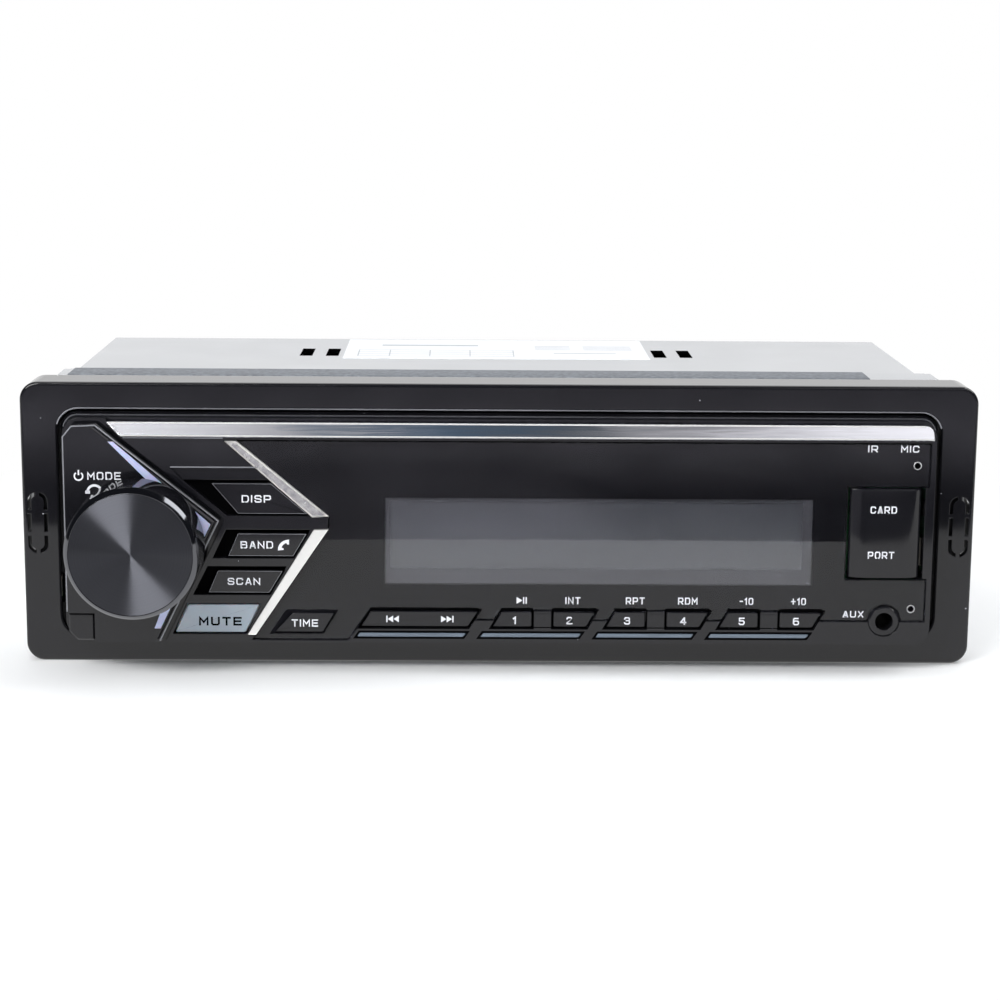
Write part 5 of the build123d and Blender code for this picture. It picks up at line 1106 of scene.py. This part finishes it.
def lay_floor(stage, level):
    """Pale paper floor: keeps the shadow and fades to white between 60 and 240 mm out."""
    add, shader, mm = start("pale_paper", Roughness=0.9, Base_Color=stage.floor)
    reach = add("VectorMath", [mm], operation="LENGTH").outputs["Value"]
    fade = add("MapRange", [reach, 60.0, 240.0], interpolation_type="SMOOTHSTEP")
    rays, direct = straight_rays(add)
    seen = add("Math", [fade, direct], operation="MULTIPLY")
    amount = add("Math", [seen, rays["Is Glossy Ray"]], operation="MAXIMUM")
    white = add("Emission", {"Color": WHITE, "Strength": 1.0})
    show(add("MixShader", [amount, shader, white]))
    flat_card("floor", "pale_paper", [(x, y, level) for x, y in box(-3, -3, 3, 3)])


def lay_dim_room(stage, level):
    """Dim room beyond the table's edge, seen only by gloss and metal.

    It is dark along the edge, palest about 0.3 m ahead, and has one pale patch left of the middle.
    """
    add, _, mm = start("dim_room")
    place = add("SeparateXYZ", [mm]).outputs
    paler = add("MapRange", [place["Y"], -185.0, -300.0, 0.05, 0.85],
                interpolation_type="SMOOTHSTEP")
    further = add("MapRange", [place["Y"], -320.0, -390.0, 1.0, 0.5])
    ramp = add("Math", [paler, further], operation="MULTIPLY")
    aside = add("Math", [place["X"], 25.0])
    aside = add("Math", [aside], operation="ABSOLUTE")
    patch = add("MapRange", [aside, 30.0, 75.0, 0.42, 0.0], interpolation_type="SMOOTHSTEP")
    brightest = add("Math", [ramp, patch], operation="MAXIMUM")
    # Slanting streaks, so that the mirrored room isn't even
    streaks = add("Mapping", {"Vector": mm, "Scale": (1.0, 0.4, 1.0),
                              "Rotation": (0, 0, math.radians(35))})
    uneven = add("TexNoise", {"Vector": streaks, "Scale": 1 / 25.0})
    uneven = add("MapRange", [uneven, *NOISE_RANGE, 0.75, 1.15])
    shade = add("Math", [brightest, uneven], operation="MULTIPLY")
    show(add("Emission", {"Color": tuple(stage.room), "Strength": shade}))
    near, far, height = -stage.edge, -1.6, level + 0.0005
    flat_card("dim_room", "dim_room", [(-0.9, near, height), (-0.9, far, height),
                                       (0.9, far, height), (0.9, near, height)], True)


def hang_reflector():
    """White reflector above the camera: chrome and edges mirror it.

    Its middle is dark, where the camera stands, and its left is greyer than its right.
    """
    add, _, mm = start("white_reflector")
    folds = add("Mapping", {"Vector": mm, "Scale": (1.0, 2.5, 2.5)})
    folds = add("TexNoise", {"Vector": folds, "Scale": 1 / 90.0, "Detail": 4.0})
    wave = add("MapRange", [folds, *NOISE_RANGE, -65.0, 65.0])
    across = add("SeparateXYZ", [mm]).outputs["X"]
    across = add("Math", [across, wave])
    share = add("MapRange", [across, -300.0, 300.0])
    tone = add("ValToRGB", [share])
    stops = tone.color_ramp.elements
    stops[0].color, stops[1].color = linear("#7c7a7c"), (1.0, 0.98, 1.0, 1.0)
    for place, code in ((0.3, "#969496"), (0.4, "#3a4f63"), (0.62, "#4b5056"), (0.78, "#a8a6a8")):
        stops.new(place).color = linear(code)
    show(add("Emission", {"Color": tone, "Strength": 1.45}))
    flat_card("white_reflector", "white_reflector", [
        (-0.9, -0.98, 0.72), (0.9, -0.98, 0.72), (0.9, -0.72, 0.98), (-0.9, -0.72, 0.98)], True)


def surround():
    """Surroundings: white to the camera and behind the radio, a dim room ahead of it."""
    world = bpy.context.scene.world = bpy.data.worlds.new("pale_studio")
    world.use_nodes = True
    add = partial(add_node, world.node_tree)
    rays, direct = straight_rays(add)
    way = add("SeparateXYZ", [add("TexCoord").outputs["Generated"]])
    behind = add("MapRange", [way.outputs["Y"], 0.3, 0.6], interpolation_type="SMOOTHSTEP")
    room = add("Mix", {0: behind, 6: linear("#3a3b42"), 7: WHITE}, data_type="RGBA")
    seen = add("Background", {"Color": WHITE, "Strength": 1.0})
    soft = add("Background", {"Color": linear("#eceef2"), "Strength": 0.8})
    dim = add("Background", {"Color": room.outputs[2], "Strength": 1.0})
    mirrored = add("MixShader", [rays["Is Glossy Ray"], soft, dim])
    show(add("MixShader", [direct, mirrored, seen]))


class RADIO_OT_stage(bpy.types.Operator):
    """Sets the camera, the floor, the soft boxes and the pale surroundings"""
    bl_idname = "radio.stage"
    bl_label = "Studio stage"

    def execute(self, context):
        stage = context.scene.radio_stage
        level = CAD_BOX[0][2]
        place_camera(stage)
        lay_floor(stage, level)
        lay_dim_room(stage, level)
        hang_reflector()
        surround()
        area_lamp("soft_box_key", *UPPER_LEFT, stage.key_power, along=SLANT)
        glint = area_lamp("soft_box_glint", *UPPER_LEFT, stage.glint_power, along=SLANT)
        glint.visible_diffuse = False
        area_lamp("soft_box_top", (0.1, 0.5, 1.0), (0, 0.03, 0), (1.2, 0.6), stage.top_power)
        area_lamp("soft_box_side", (0.76, 0.1, 0.8), (0, 0, 0), (0.62, 0.5), stage.side_power,
                  along=(-0.31, -0.05, 0.35))
        return {"FINISHED"}


OPERATORS = (RADIO_OT_finishes, RADIO_OT_keys, RADIO_OT_door, RADIO_OT_light_bars,
             RADIO_OT_chevron, RADIO_OT_wells, RADIO_OT_backing, RADIO_OT_edges, RADIO_OT_knob,
             RADIO_OT_screws, RADIO_OT_lettering, RADIO_OT_label, RADIO_OT_tape, RADIO_OT_stage)
GROUPS = {"radio_sizes": RadioSizes, "radio_colours": RadioColours, "radio_stage": RadioStage}


class RADIO_PT_panel(bpy.types.Panel):
    """Lists the steps that dress the radio and their settings"""
    bl_idname = "RADIO_PT_panel"
    bl_label = "Car radio"
    bl_space_type = "VIEW_3D"
    bl_region_type = "UI"
    bl_category = "Car Radio"

    def draw(self, context):
        for operator in OPERATORS:
            self.layout.operator(operator.bl_idname)
        for name, group in GROUPS.items():
            for setting in group.__annotations__:
                self.layout.prop(getattr(context.scene, name), setting)


def register():
    for group in GROUPS.values():
        bpy.utils.register_class(group)
    for name, group in GROUPS.items():
        setattr(bpy.types.Scene, name, bpy.props.PointerProperty(type=group))
    for kind in (*OPERATORS, RADIO_PT_panel):
        bpy.utils.register_class(kind)


def unregister():
    for kind in reversed((*OPERATORS, RADIO_PT_panel)):
        bpy.utils.unregister_class(kind)
    for name, group in GROUPS.items():
        delattr(bpy.types.Scene, name)
        bpy.utils.unregister_class(group)


def main():
    """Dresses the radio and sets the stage."""
    register()
    for operator in OPERATORS:
        family, name = operator.bl_idname.split(".")
        getattr(getattr(bpy.ops, family), name)()


if __name__ == "__main__":
    main()
